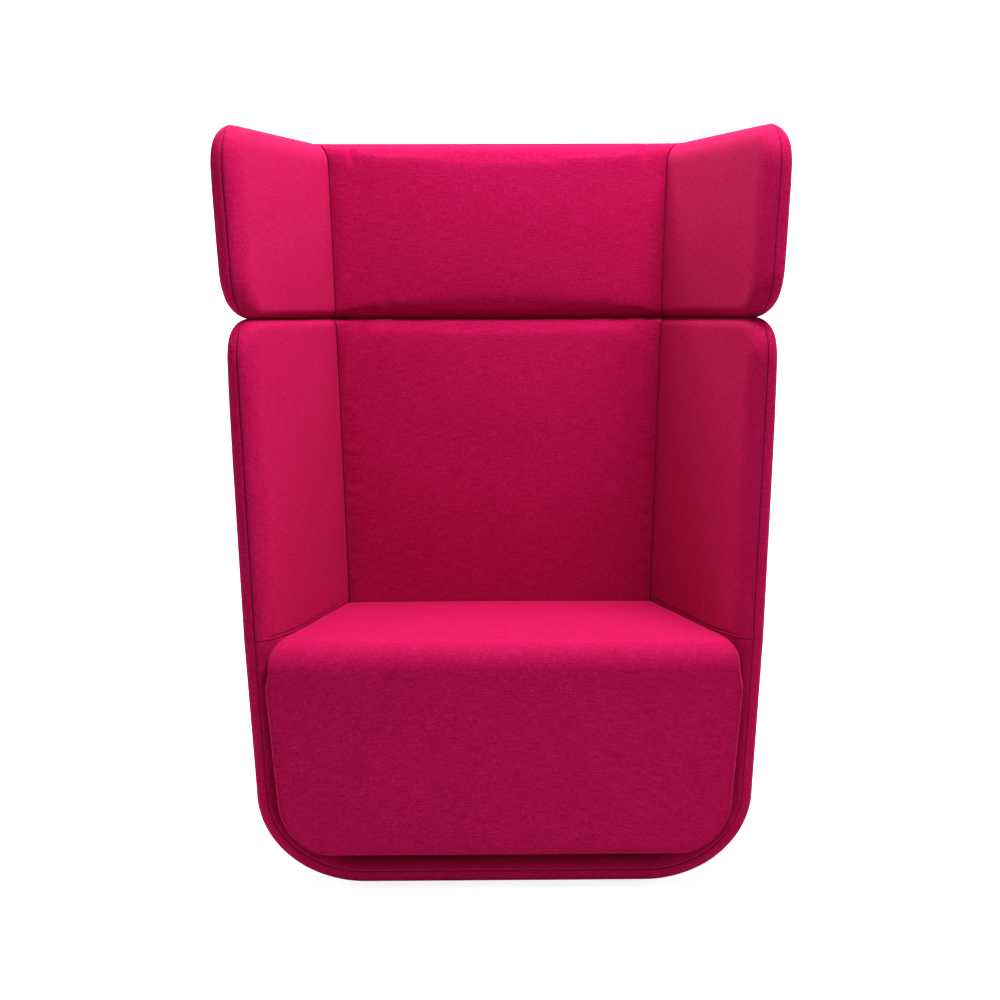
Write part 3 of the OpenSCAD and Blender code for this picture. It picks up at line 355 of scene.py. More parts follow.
def section(name):
    """A section's low height, corner radius there, top at the front and back, and radius there."""
    c = chair()
    if name == "wall":
        top = c.split_h + c.joint_press / 2
        return c.seam_h, 0.0, top, top, c.wall_corner_r
    low = c.split_h - c.joint_press / 2
    return low, c.wing_corner_low_r, c.wing_tip_h, c.overall_h, c.wing_corner_top_r


def seam_at(p):
    """Height of the tub's seam on the inside, which falls behind the rim's lining."""
    c = chair()
    share = np.clip((p - c.rim_setback) / (SEAM_FALL * c.lining_depth), 0, 1)
    return c.seam_h - c.seam_dip * share * share * (3 - 2 * share)


def section_low(s, p):
    """Height of a section's lower edge on the inside."""
    return seam_at(p) if s[0] == chair().seam_h else s[0]


def section_top(s, p):
    c = chair()
    return mix(s[2], s[3], (p - c.rim_setback) / (rear_p() - c.rim_setback))


# Stations across a piece

# Turns in degrees of the stations over a rounded edge.
EDGE_TURNS = (0, 4, 9, 14, 20, 27, 35, 45, 56, 68, 80, 90)
# Flat stations that keep a sewn border crisp: distance and height share.
BORDER = ((0.0, 1.0), (0.0008, 1.0), (0.0042, 1.0), (0.0090, 1.0))
# The station of an edge or border that carries its topstitching.
STITCH_STATION = 2
# What a station's distance is reckoned from.
LOW, MIDDLE, HIGH = 0, 1, 2


def edge(radius, tucked=True, spread=None):
    """Distances from a rounded edge, and the share of the piece's height there.

    A spread of 1 is a quarter circle. More draws the curve out, as foam under fabric does.
    A tucked edge is pulled in along its seam.
    """
    s = sewing()
    spread = spread or s.spread
    out = []
    for turn in EDGE_TURNS:
        a = math.radians(turn)
        near = max(0.0, 1 - radius * a / s.lip) if tucked else 0.0
        distance = spread * radius * (1 - math.cos(a)) + s.tuck * near**2
        out.append((distance, math.sqrt(1 - math.cos(a) ** (1 + spread))))
    return out


def corner(edge_list, radius, steps=8):
    """Adds stations from the edge to the end of a rounded corner."""
    start = edge_list[-1][0]
    if radius <= start:
        return edge_list
    return edge_list + [(mix(start, radius, i / steps), 1.0) for i in range(1, steps + 1)]


def stations(low, middle, high):
    """Rows of kind, distance or share, and height share, from the low end to the high end."""
    rows = [(LOW, d, rise) for d, rise in low]
    rows += [(MIDDLE, share, 1.0) for share in middle]
    rows += [(HIGH, d, rise) for d, rise in reversed(high)]
    return np.array(rows)


def middle(span, cell=None):
    """Shares that cut a span into cells."""
    n = max(2, int(round(span / (cell or sewing().cell))))
    return [i / n for i in range(1, n)]


def place(st, low, high):
    """Where stations lie between a low and a high end, which may vary across the piece."""
    reach_low = max([v for k, v, _ in st if k == LOW], default=0)
    reach_high = max([v for k, v, _ in st if k == HIGH], default=0)
    kind, value = st[:, 0], st[:, 1]
    if np.ndim(low) == 2:
        kind, value = kind[:, None], value[:, None]
    inner = mix(low + reach_low, high - reach_high, value)
    return np.where(kind == LOW, low + value, np.where(kind == HIGH, high - value, inner))


def distance_from(end, st):
    """How far stations lie from one end, for those that are reckoned from it."""
    return np.where(st[:, 0] == end, st[:, 1], FAR)


def front_edge(s, v, under=0.0):
    """Depth of a section's front edge up its height, with its rounded corners."""
    c = chair()
    low = drawn_in(max(s[1], c.gap), distance_from(LOW, v))
    return c.rim_setback + under + low + drawn_in(s[4], distance_from(HIGH, v))


# Meshes


def along(points, axis):
    """Length along a grid in one direction, which lays the weave without stretching it."""
    step = np.linalg.norm(np.diff(points, axis=axis), axis=2)
    zero = np.zeros_like(np.take(step, [0], axis=axis))
    return np.cumsum(np.concatenate([zero, step], axis=axis), axis=axis)


def new_mesh(name, points, faces):
    mesh = bpy.data.meshes.new(name)
    mesh.from_pydata(points, [], faces)
    mesh.shade_smooth()
    return mesh


def new_object(name, data):
    obj = bpy.data.objects.new(name, data)
    bpy.context.scene.collection.objects.link(obj)
    return obj


def quads_of(numbers, hole=None):
    """The faces between a grid's points. hole is a test on a cell's numbers that leaves it out."""
    n, m = numbers.shape
    return [
        (numbers[i, j], numbers[i + 1, j], numbers[i + 1, j + 1], numbers[i, j + 1])
        for i in range(n - 1) for j in range(m - 1) if not (hole and hole(i, j))]


def filled_row(row, foot, first):
    """Points and numbers that fill the flat inside of a grid's last row, down to its level foot.

    foot is the row's point where the level part starts, first the number of the grid's first
    unused point.
    """
    m = len(row)
    level = row[foot:m - foot, 0]
    share = ((level - level[0]) / (level[-1] - level[0]))[1:-1, None]
    start = first - m
    numbers = np.zeros((foot + 1, len(level)), int)
    numbers[foot] = range(start + foot, start + m - foot)
    points = []
    for k in range(foot):
        numbers[k, 0], numbers[k, -1] = start + k, start + m - 1 - k
        numbers[k, 1:-1] = range(first + len(points), first + len(points) + len(share))
        points += list(mix(row[k], row[m - 1 - k], share))
    return np.array(points), numbers


def cloth_piece(name, grid, inner=None, hole=None, foot=None):
    """A mesh from a grid of points whose first direction runs across and second runs up.

    With inner, a second grid, it is a sheet with a thickness. hole leaves cells out. foot
    fills the grid's last row, which ends in a flat face.
    """
    n, m = grid.shape[:2]
    quads = quads_of(np.arange(n * m).reshape(n, m), hole)
    points = grid.reshape(-1, 3)
    flat = np.stack([along(grid, 0).ravel(), along(grid, 1).ravel()], 1)
    before_fill = len(quads)
    if foot is not None:
        added, rear = filled_row(grid[-1], foot, n * m)
        points = np.concatenate([points, added])
        flat = np.concatenate([flat, added[:, [0, 2]]])
        quads += [
            (rear[i + 1, j], rear[i, j], rear[i, j + 1], rear[i + 1, j + 1])
            for i in range(rear.shape[0] - 1) for j in range(rear.shape[1] - 1)]
    filled = range(before_fill, len(quads))
    if inner is not None:
        count = len(points)
        under = [inner.reshape(-1, 3)]
        if foot is not None:
            under.append(filled_row(inner[-1], foot, n * m)[0])
        points = np.concatenate([points, *under])
        flat = np.concatenate([flat, flat])
        edges = dict.fromkeys((a, b) for quad in quads for a, b in zip(quad, quad[1:] + quad[:1]))
        quads += [tuple(v + count for v in reversed(q)) for q in quads]
        quads += [(b, a, a + count, b + count) for a, b in edges if (b, a) not in edges]
    mesh = new_mesh(name, points.tolist(), quads)
    laid = [flat[list(q)] for q in quads]
    for k in filled:
        laid[k] = points[list(quads[k])][:, [0, 2]]
    weave = mesh.uv_layers.new(name="cut")
    weave.data.foreach_set("uv", np.concatenate(laid).ravel().astype(np.float32))
    if hole:
        b = bmesh.new()
        b.from_mesh(mesh)
        bmesh.ops.delete(b, geom=[v for v in b.verts if not v.link_faces], context="VERTS")
        b.to_mesh(mesh)
        b.free()
    return new_object(name, mesh)


def close_back(obj, n, m):
    """Closes a pad's flat side, between its first and its last row of points."""
    b = bmesh.new()
    b.from_mesh(obj.data)
    b.verts.ensure_lookup_table()
    v = np.array(b.verts[: n * m], object).reshape(n, m)
    rows = [list(v[:, 0]) + [v[-1, 1], v[0, 1]]]
    rows += [[v[0, j], v[-1, j], v[-1, j + 1], v[0, j + 1]] for j in range(1, m - 2)]
    rows += [[v[0, m - 2], v[-1, m - 2]] + list(v[::-1, m - 1])]
    for row in rows:
        face = b.faces.new(row[::-1])
        face.smooth = False
    bmesh.ops.recalc_face_normals(b, faces=b.faces)
    b.to_mesh(obj.data)
    b.free()


def swell(obj):
    """Swells the fabric from its cut shape, held along its seams, and caps how far it may move."""
    s = sewing()
    mesh = obj.data
    before = np.zeros(len(mesh.vertices) * 3)
    mesh.vertices.foreach_get("co", before)
    cloth = obj.modifiers.new("cloth", "CLOTH")
    fabric = cloth.settings
    fabric.quality = 4
    fabric.mass = 0.3
    fabric.tension_stiffness = fabric.compression_stiffness = 25
    fabric.shear_stiffness = 8
    fabric.bending_stiffness = 0.4
    fabric.use_pressure = True
    fabric.uniform_pressure_force = s.pressure
    fabric.shrink_min = -0.012
    fabric.vertex_group_mass = "sewn"
    fabric.effector_weights.gravity = 0
    cloth.collision_settings.use_collision = False
    scene = bpy.context.scene
    for f in range(1, s.frames + 1):
        scene.frame_set(f)
    shaped = obj.evaluated_get(bpy.context.evaluated_depsgraph_get())
    after = np.zeros_like(before)
    shaped.data.vertices.foreach_get("co", after)
    obj.modifiers.remove(cloth)
    scene.frame_set(1)
    move = (after - before).reshape(-1, 3)
    reach = np.linalg.norm(move, axis=1, keepdims=True)
    move *= s.swell_cap * np.tanh(reach / s.swell_cap) / np.maximum(reach, 1e-9)
    mesh.vertices.foreach_set("co", (before.reshape(-1, 3) + move).ravel())
    mesh.update()


def sewn_group(obj, n, m, across, up):
    """Holds the rows of fabric next to the seams during the simulation."""
    numbers = np.arange(n * m).reshape(n, m)
    held = np.concatenate([
        numbers[:across].ravel(), numbers[-across:].ravel(),
        numbers[:, :up].ravel(), numbers[:, -up:].ravel()])
    group = obj.vertex_groups.new(name="sewn")
    group.add([int(k) for k in np.unique(held)], 1.0, "REPLACE")


def upholster(obj, slot, nodes):
    """Gives a soft piece its material, its place in the frame and what it stands for."""
    obj.data.materials.append(material(slot))
    rounded = obj.modifiers.new("smooth", "SUBSURF")
    rounded.levels = rounded.render_levels = 1
    rounded.use_limit_surface = False
    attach(obj, "chair")
    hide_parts(*nodes)
    return obj


# Along a stitch: where, how high and how thick, in shares of its half length and thread radius.
STITCH_SHAPE = ((-1.0, -1.2, 0.6), (-0.6, 0.45, 1.0), (0.6, 0.45, 1.0), (1.0, -1.2, 0.6))
STITCH_SIDES = 6


def evenly(path, pitch):
    """Points along a path, a pitch apart."""
    walked = np.concatenate([[0], np.cumsum(np.linalg.norm(np.diff(path, axis=0), axis=1))])
    marks = np.arange(pitch / 2, walked[-1], pitch)
    return np.stack([np.interp(marks, walked, path[:, k]) for k in range(3)], 1)


# Waves that make puckers: height, turns for each pucker and start.
RIPPLES = ((0.5, 1.0, 0.0), (0.3, 1.618, 1.3), (0.2, 2.414, 4.1))
# How far puckers fade out beside a rim, in a pad and in a cover.
PAD_PUCKER_REACH, COVER_PUCKER_REACH = 0.016, 0.012


def puckers(distance, start=0.0):
    """Puckers along a seam, which never quite repeat."""
    turn = 2 * math.pi * distance / sewing().pucker_pitch + start
    return sewing().pucker * sum(high * np.sin(rate * turn + shift) for high, rate, shift in RIPPLES)


# Pads and covers

# The side pads end this far before the back's cover.
PAD_END_GAP = 0.001
# Lengths that the edges' own stations cover: along a rim, between two corners and two edges.
RIM_SPAN, CORNERS_SPAN, EDGES_SPAN = 0.03, 0.1, 0.04
# Size of a cell of the outer covers, and how many run across the back.
COVER_CELL = 0.014
BACK_CELLS = 24
# Stations across a row of topstitching, in channel widths.
STITCH_STATIONS = (-1.6, -0.8, 0, 0.8, 1.6, 3.2)
# How far the back's pad reaches down behind the seat.
PAD_BELOW_SEAT = 0.085


def pad_low_x(p, z):
    """Where the side pads are sewn to the outer covers."""
    return outer_x(p, z) - (chair().seam_w + chair().gap) * side_k()


def channel(distance):
    """The shallow channel that a row of topstitching pulls into the fabric."""
    return sewing().channel * np.exp(-((distance / sewing().channel_w) ** 2))


def side_pad_grid(s, low_edge, top_edge, side):
    """The inner pad of a side wall, from the rim seam to the crease against the back."""
    c = chair()
    end = inner_rear_p() - PAD_END_GAP
    u = stations(edge(c.pad_roll), middle(end - c.rim_setback - RIM_SPAN), [(0.0, 0.0), (0.0, 1.0)])
    v = stations(corner(low_edge, s[1]), middle(s[3] - s[0] - CORNERS_SPAN), corner(top_edge, s[4]))
    front = front_edge(s, v)
    p = np.stack([place(u, f, end) for f in front], 1)
    z = np.stack([place(v, section_low(s, q), section_top(s, q)) for q in p[:, len(v) // 2]], 0)
    rise = u[:, None, 2] * v[None, :, 2]
    across = (p - c.rim_setback) / (end - c.rim_setback)
    up = (z - s[0]) / (s[3] - s[0])
    near = np.exp(-(p - front[None, :]) / PAD_PUCKER_REACH) * np.sqrt(np.clip(rise, 0, 1))
    face = face_x(p, z) - c.side_crown * hump(across) * hump(up)
    face = face + near * puckers(z)
    if s[0] == c.seam_h:
        face = face + channel(z - z[:, :1] - sewing().felled)
    return leaned(side * mix(pad_low_x(p, z), face, rise), p, z)


def back_pad_grid(low, high, low_edge, top_edge, side_top):
    """The inner pad of the back, whose sides lie against the side pads with their rounded tops."""
    c = chair()
    crease = edge(c.crease_roll, False, 1.0)
    u = stations(crease, middle(2 * face_x(c.seat_depth, low)), crease)
    v = stations(low_edge, middle(high - low - EDGES_SPAN), top_edge)
    z = place(v, low, high)[None, :]
    up = v[None, :, 2]
    rise = u[:, None, 2] * up
    p = mix(inner_rear_p(), c.seat_depth, rise)
    beside = np.minimum(up, np.interp(high - z, *np.transpose(side_top)))
    half = mix(pad_low_x(p, z), face_x(p, z), beside) - c.gap
    x = place(u, -half, half)
    across = (x / half + 1) / 2
    face = c.seat_depth - c.back_crown * hump(across) * hump((z - low) / (high - low))
    return leaned(x, mix(inner_rear_p(), face, rise), z)


def pad(name, grid, nodes, flip=False, rows=(), held=2):
    """A sewn pad: cut, swollen, and closed on its board.

    rows are its lines of topstitching, held the points at its sides that the swelling leaves.
    """
    n, m = grid.shape[:2]
    obj = cloth_piece(name, grid[::-1] if flip else grid)
    TOPSTITCH.extend((obj, row) for row in rows)
    sewn_group(obj, n, m, held, 2)
    swell(obj)
    obj.vertex_groups.clear()
    close_back(obj, n, m)
    return upholster(obj, "wool_twill", nodes)


def side_pads(section_name, pad_name, s, low, top, topstitched):
    """The pads of both side walls. topstitched picks the rows of topstitching from a grid."""
    for name, side in (("left", -1), ("right", 1)):
        grid = side_pad_grid(s, low, top, side)
        nodes = [f"{section_name}_pad_{name}", f"{section_name}_foam_{name}"]
        pad(f"{pad_name}_{name}", grid, nodes, side > 0, topstitched(grid))


def wall_topstitching(grid):
    """Topstitching inside a side pad's rim and along the tub's seam."""
    return [grid[STITCH_STATION], grid[len(EDGE_TURNS) - 1 :, len(EDGE_TURNS) + STITCH_STATION]]


def wing_topstitching(grid):
    """Topstitching inside a wing pad's rim and top, in one line."""
    return [np.concatenate([
        grid[STITCH_STATION, :-STITCH_STATION], grid[STITCH_STATION + 1 :, -1 - STITCH_STATION]])]


# How much less deep the head joint is at the back, where link bars cross it.
JOINT_RISE = 0.4


def outer_grid(s, low_edge, top_edge, t):
    """The outer cover of a section, t under its face, from the left rim round the back."""
    c, w = chair(), sewing()
    centre = corner_p()
    tangent = centre + c.rear_corner_r * math.sin(c.splay)
    height = s[3] - s[0] - CORNERS_SPAN
    v = stations(corner(low_edge, s[1]), middle(height, COVER_CELL), corner(top_edge, s[4]))
    front = front_edge(s, v, t)
    rim = stations(edge(c.outer_roll), middle(tangent - c.rim_setback, COVER_CELL), [])
    shallow = JOINT_RISE * (v[:, 0] == (LOW if s[0] > c.seam_h else HIGH)) * (1 - v[:, 2])
    rows = []
    for k, value, rise in rim:
        p = front + value if k == LOW else mix(front + w.spread * c.outer_roll, tangent, value)
        z = place(v, s[0], section_top(s, p))
        up = rise * v[:, 2]
        near = np.exp(-(p - front) / COVER_PUCKER_REACH) * math.sqrt(rise)
        x = outer_x(p, z) - mix(c.seam_w, t, up) * side_k() + up * belly(p, z)
        x = x + near * puckers(z, 2.0)
        rows.append((x, p, z))
    for turned in np.linspace(0, 1, REAR_TURNS):
        a = mix(c.splay, math.pi / 2, turned)
        p = np.full(len(v), centre + c.rear_corner_r * math.sin(a))
        z = place(v, s[0], section_top(s, p))
        inset = mix(c.seam_w, t, v[:, 2] + turned * shallow)
        x = outer_x(centre, z) - c.rear_corner_r * side_k() + (c.rear_corner_r - inset) * math.cos(a)
        rows.append((x, centre + (c.rear_corner_r - inset) * math.sin(a), z))
    half = np.stack([leaned(x, p, z) for x, p, z in rows])
    left = half * np.array([-1, 1, 1])
    span = [mix(left[-1], half[-1], i / BACK_CELLS) for i in range(1, BACK_CELLS)]
    return np.concatenate([left, np.stack(span), half[::-1]])[::-1]


def outer_cover(name, s, low_edge, top_edge, nodes):
    grid = outer_grid(s, low_edge, top_edge, 0)
    obj = cloth_piece(name, grid, outer_grid(s, low_edge, top_edge, chair().cover_t))
    if s[0] == chair().seam_h:
        TOPSTITCH.append((obj, grid[:, STITCH_STATION]))
    return upholster(obj, "wool_twill", nodes)


# Rows down the tub's wall and how far under its border they start, points to the middle of its
# bottom, and rows from the rim back.
WALL_ROWS, WALL_START, BOTTOM_POINTS, DEPTH_ROWS = 19, 0.009, 14, 37
# The window in the base starts this share of the turned in margin behind the rim's rounding.
WINDOW_START = 1 / 3


def tub_wall_heights():
    """Heights of the points down the tub's wall, close together along its seam."""
    border = [chair().seam_h - d for d, _ in BORDER]
    below = np.linspace(border[-1] - WALL_START, corner_top_h(), WALL_ROWS)
    return np.array(border + list(below[:-1]))


def tub_half(p, w, draw, full):
    """Half of the tub's section at a depth, from the seam down to the middle of the bottom."""
    c = chair()
    wall = tub_wall_heights()
    turn = np.radians(np.linspace(0, 90, TUB_TURNS))
    x0 = outer_x(p, corner_top_h()) - c.corner_a
    swollen = full * belly(p, corner_top_h() - c.corner_b * np.sin(turn))
    across = c.corner_a - w * side_k() - draw + swollen
    x = np.concatenate([
        outer_x(p, wall) - w * side_k() - draw + full * belly(p, wall), x0 + across * np.cos(turn)])
    z = np.concatenate([wall, corner_top_h() - (c.corner_b - w - draw + swollen) * np.sin(turn)])
    flat = np.linspace(1, 0, BOTTOM_POINTS)[1:]
    edge_x = x0 - c.under_margin
    x = np.concatenate([x, [edge_x], edge_x * flat])
    z = np.concatenate([z, np.full(len(flat) + 1, z[-1])])
    return x, z


def tub_row(p, w, draw=0.0, full=0.0):
    """A row of the tub from seam to seam. full is the share of the covers' belly that it takes."""
    x, z = tub_half(p, w, draw, full)
    x, z = np.concatenate([-x, x[-2::-1]]), np.concatenate([z, z[-2::-1]])
    return leaned(x, p, z)


def tub_depths():
    """Depths of the tub's rows behind the rounded rim, with the base window's ends among them."""
    c = chair()
    front = c.rim_setback + sewing().spread * c.outer_roll
    window = front + c.under_margin * WINDOW_START
    return list(np.linspace(window, corner_p(), DEPTH_ROWS))


def tub_cover_grid(t):
    c = chair()
    rows = []
    for d, rise in edge(c.outer_roll):
        p = c.rim_setback + t + d * (1 - t / (sewing().spread * c.outer_roll))
        rows.append(tub_row(p, mix(c.seam_w, t, rise), full=rise))
    rows += [tub_row(p, t, full=1.0) for p in tub_depths()]
    r = c.rear_corner_r - t
    for turned in np.linspace(0, 1, REAR_TURNS):
        a = mix(c.splay, math.pi / 2, turned)
        draw = r * (side_k() - math.tan(c.splay) * math.sin(a) - math.cos(a))
        rows.append(tub_row(corner_p() + r * math.sin(a), t, draw))
    grid = np.stack(rows)
    wave = puckers(along(grid, 1))
    for k, (_, rise) in enumerate(edge(c.outer_roll)):
        grid[k, 1:-1, 1] += rise * wave[k, 1:-1]
    return grid


# The seat

# Rows up the seat: round the front's bottom corners, up it, over the crest and back.
CORNER_ROWS, FRONT_ROWS, CREST_ROWS, TOP_ROWS = 12, 28, 11, 56
# The corners' own rows start at this turn in degrees, and this far above the edge's rows.
CORNER_START, CORNER_STEP = 28, 0.002
# The share of the back's crown at which the seat meets the back.
SEAT_PRESS = 0.6
# How late in the crest's turn the seat widens to its sides, and its ends round off.
CREST_WIDENS, CREST_ROUNDS = 6, 1.5
# Stations across the hem's topstitching, in hem widths from the rounded edge.
HEM_STATIONS = (0.21, 0.42, 0.6, 0.78, 0.99, 1.44)
# Turns over the crest: where the hem's topstitching ends, its channel fades out, the top begins.
HEM_END, CHANNEL_END, TOP_TURN = 1.0, 1.4, 1.5


def returned(edge_list):
    """Starts a seat's edge with the cover's return, as a share below its foot."""
    return [(0.0, -seat().edge_return / seat().edge_drop)] + edge_list


def seat_profile():
    """Stations up the front, over the crest and back: depth, height, half width, outward turn, rise."""
    q, c = seat(), chair()
    end = c.seat_depth - SEAT_PRESS * c.back_crown
    corner_h = q.front_low_h + q.front_corner_r
    rows = []

    def side(p, z):
        return float(face_x(p, z - q.edge_drop) - c.gap)

    def front(z, rise):
        if z < corner_h:
            half = q.front_half_low - float(drawn_in(q.front_corner_r, z - q.front_low_h))
        else:
            half = float(np.interp(
                z, [corner_h, q.front_wide_h, q.crest_h - q.crest_r],
                [q.front_half_low, q.front_half_top, q.crest_half]))
        rows.append((0.0, z, half, 0.0, rise))

    for d, rise in returned(edge(q.front_edge_roll, False, 1.0)):
        front(q.front_low_h + d, rise)
    start = q.front_low_h + q.front_edge_roll
    for a in np.radians(np.linspace(CORNER_START, 90, CORNER_ROWS)):
        z = q.front_low_h + q.front_corner_r * (1 - math.cos(a))
        if z > start + CORNER_STEP:
            front(z, 1.0)
    top = q.crest_h - q.crest_r
    for share in np.linspace(0, 1, FRONT_ROWS)[1:]:
        front(mix(corner_h, top, share), 1.0)
    for a in np.radians(np.linspace(0, 90, CREST_ROWS)[1:]):
        half = mix(q.crest_half, side(q.crest_r, q.crest_h), math.sin(a) ** CREST_WIDENS)
        rows.append((
            q.crest_r * (1 - math.cos(a)), top + q.crest_r * math.sin(a), half, a, 1.0))
    for share in np.linspace(0, 1, TOP_ROWS)[1:]:
        p = mix(q.crest_r, end - q.rear_roll, share)
        z = mix(q.crest_h, q.seat_h, share)
        rows.append((p, z, side(p, z), math.pi / 2, 1.0))
    for d, rise in reversed(edge(q.rear_roll, False, 1.0)[:-1]):
        rows.append((end - d, q.seat_h, side(end - d, q.seat_h), math.pi / 2, rise))
    return np.array(rows), end


def seat_grid():
    q = seat()
    rows, end = seat_profile()
    p, z, half, turn, rise = rows.T
    columns = []
    for h, a, depth in zip(half, turn, p):
        fade = min(max((depth - q.crest_r) / q.side_fade, 0), 1)
        over = mix(q.front_edge_roll, q.crest_end_roll, math.sin(a) ** CREST_ROUNDS)
        radius = mix(over, q.side_roll, fade)
        low = returned(edge(radius, False, 1.0)) + [(radius + q.hem * k, 1.0) for k in HEM_STATIONS]
        st = stations(low, middle(2 * q.crest_half - EDGES_SPAN), low)
        columns.append(place(st, -h, h))
    x = np.stack(columns, 1)
    across, up = st[:, None, 2], rise[None, :]
    e = np.where((across < 0) | (up < 0), min(up.min(), across.min()), across * up)
    across = 1 - (x / half) ** 2
    deep = np.where(turn > TOP_TURN, (p - q.crest_r) / (end - q.crest_r), 0)
    up = np.clip((z - q.front_low_h) / (q.front_wide_h - q.front_low_h), 0, 1)
    crown = across * (q.seat_crown * hump(deep) + np.where(turn > 0, 0, q.front_bulge * hump(up)))
    sink = mix(q.edge_drop, -crown, e)
    # The hem's topstitching presses a shallow channel into the front, fading over the crest.
    beside = np.minimum(half - np.abs(x), np.where(turn > 0, FAR, z - q.front_low_h))
    sink = sink + np.clip(CHANNEL_END - turn, 0, 1) * channel(beside - q.hem)
    return leaned(x, p + sink * np.cos(turn), z - sink * np.sin(turn))


def hem_row():
    """The line of topstitching inside the sides and the foot of the seat's front."""
    q = seat()
    rows, _ = seat_profile()
    p, z, half, _, _ = rows[(rows[:, 3] < HEM_END) & (rows[:, 1] > q.front_low_h + q.hem)].T
    left = leaned(q.hem - half, p, z)[::-1]
    return np.concatenate([left, (left * np.array([-1, 1, 1]))[::-1]])


# Materials

# A wave texture's scale for diagonal bands one metre apart.
WAVE = 2 * math.pi / (10 * math.sqrt(3))
# How much the twill's diagonal shows in the wool's tone.
TWILL = 0.12
WHITE = (1, 1, 1, 1)


def colour(code):
    """Linear colour from sRGB hex."""
    parts = [int(code[k:k + 2], 16) / 255 for k in (1, 3, 5)]
    return (*[v / 12.92 if v <= 0.04045 else ((v + 0.055) / 1.055) ** 2.4 for v in parts], 1.0)


def add(tree, kind, settings=(), links=()):
    """Adds a node. settings names its own values or its sockets, links names sockets to feed."""
    node = tree.nodes.new(kind)
    for key, value in dict(settings).items():
        if isinstance(key, str) and hasattr(node, key):
            setattr(node, key, value)
        else:
            node.inputs[key].default_value = value
    for key, output in dict(links).items():
        tree.links.new(output, node.inputs[key])
    return node


def new_material(name):
    """An empty material and its nodes."""
    m = bpy.data.materials.new(name)
    m.use_nodes = True
    m.node_tree.nodes.clear()
    return m, m.node_tree


def surface(tree, shader, kind="Material"):
    add(tree, f"ShaderNodeOutput{kind}", (), {"Surface": shader.outputs[0]})


def pattern(tree, kind, settings):
    """A pattern laid over a piece in its own space, in metres."""
    where = add(tree, "ShaderNodeTexCoord")
    return add(tree, kind, settings, {"Vector": where.outputs["Object"]})


def coated(tree, height, bump, settings, links=()):
    """A solid surface. bump is how strongly and how far a height of 1 stands out."""
    strength, distance = bump
    relief = add(tree, "ShaderNodeBump", {"Strength": strength, "Distance": distance}, {"Height": height})
    shader = add(
        tree, "ShaderNodeBsdfPrincipled", settings, {**dict(links), "Normal": relief.outputs[0]})
    surface(tree, shader)


def seen_or(tree, shown, lit):
    """One shader where the camera or a reflection looks, another for what lights the chair."""
    path = add(tree, "ShaderNodeLightPath")
    seen = add(tree, "ShaderNodeMath", {"operation": "MAXIMUM"}, {
        0: path.outputs["Is Camera Ray"], 1: path.outputs["Is Glossy Ray"]})
    links = {0: seen.outputs[0], 1: lit.outputs[0], 2: shown.outputs[0]}
    return add(tree, "ShaderNodeMixShader", (), links)


def wool_twill():
    """Worsted wool twill, piece dyed and lightly felted: matt, with a soft sheen where it turns away."""
    c = colours()
    m, t = new_material("wool_twill")
    uv = add(t, "ShaderNodeUVMap", {"uv_map": "cut"})
    # Real yarns are about 0.7 mm apart; they are drawn at 1.6 mm so that the weave still shows.
    yarns = add(t, "ShaderNodeVectorMath", {"operation": "SCALE", "Scale": 1000 / 1.6}, {0: uv.outputs[0]})
    split = add(t, "ShaderNodeSeparateXYZ", (), {0: yarns.outputs[0]})
    diagonal = add(t, "ShaderNodeMath", {"operation": "ADD"}, {0: split.outputs[0], 1: split.outputs[1]})
    turned = add(t, "ShaderNodeMath", {"operation": "MULTIPLY", 1: math.pi}, {0: diagonal.outputs[0]})
    twill = add(t, "ShaderNodeMath", {"operation": "SINE"}, {0: turned.outputs[0]})
    # Width and height in millimetres, how much it shows, and what it is.
    tones = (
        (34, 1.6, 0.55),   # slubs, thicker lengths of weft yarn
        (8, 1.4, 0.65),    # weft yarns between two warps
        (2.0, 14, 0.28),   # uneven warp yarns
        (1.5, 1.5, 0.75),  # felted fibres that break the yarns up
        (120, 120, 0.06),  # dye that took a little unevenly
    )
    tone = add(t, "ShaderNodeMath", {"operation": "MULTIPLY_ADD", 1: TWILL, 2: 0.5}, {0: twill.outputs[0]})
    for wide, high, share in tones:
        size = (1000 / wide, 1000 / high, 1)
        cell = add(t, "ShaderNodeMapping", {"Scale": size}, {"Vector": uv.outputs[0]})
        noise = add(t, "ShaderNodeTexNoise", {"Scale": 1.0, "Detail": 2.0}, {"Vector": cell.outputs[0]})
        even = add(t, "ShaderNodeMath", {"operation": "SUBTRACT", 1: 0.5}, {0: noise.outputs[0]})
        tone = add(t, "ShaderNodeMath", {"operation": "MULTIPLY_ADD", 1: share}, {
            0: even.outputs[0], 2: tone.outputs[0]})
    ramp = add(t, "ShaderNodeValToRGB", (), {0: tone.outputs[0]})
    yarn = ramp.color_ramp.elements
    yarn[0].position, yarn[0].color = 0.15, colour(c.wool_dark)
    yarn[1].position, yarn[1].color = 0.85, colour(c.wool_light)
    yarn.new(0.5).color = colour(c.wool)
    coated(t, tone.outputs[0], (0.24, 0.0005), {
        "Roughness": 0.92, "IOR": 1.5, "Specular IOR Level": 0.05, "Sheen Weight": 0.12,
        "Sheen Roughness": 0.38, "Sheen Tint": colour(c.nap)}, {"Base Color": ramp.outputs[0]})
    return m


def sewing_thread():
    """Bonded polyester thread: twisted, slightly glossier than the wool. Its dark colour is partly its own
    and partly painted shade for the shadow round stitches sunk in the wool.
    """
    m, t = new_material("sewing_thread")
    # One twist of the thread about every 1 mm.
    twist = pattern(t, "ShaderNodeTexWave", {
        "Scale": WAVE / 0.001, "Distortion": 1.0, "bands_direction": "DIAGONAL"})
    # The dark thread colour is partly painted shade for the stitches sunk into the wool.
    coated(t, twist.outputs[1], (0.3, 0.0001), {
        "Base Color": colour(colours().thread), "Roughness": 0.6, "Specular IOR Level": 0.2})
    return m


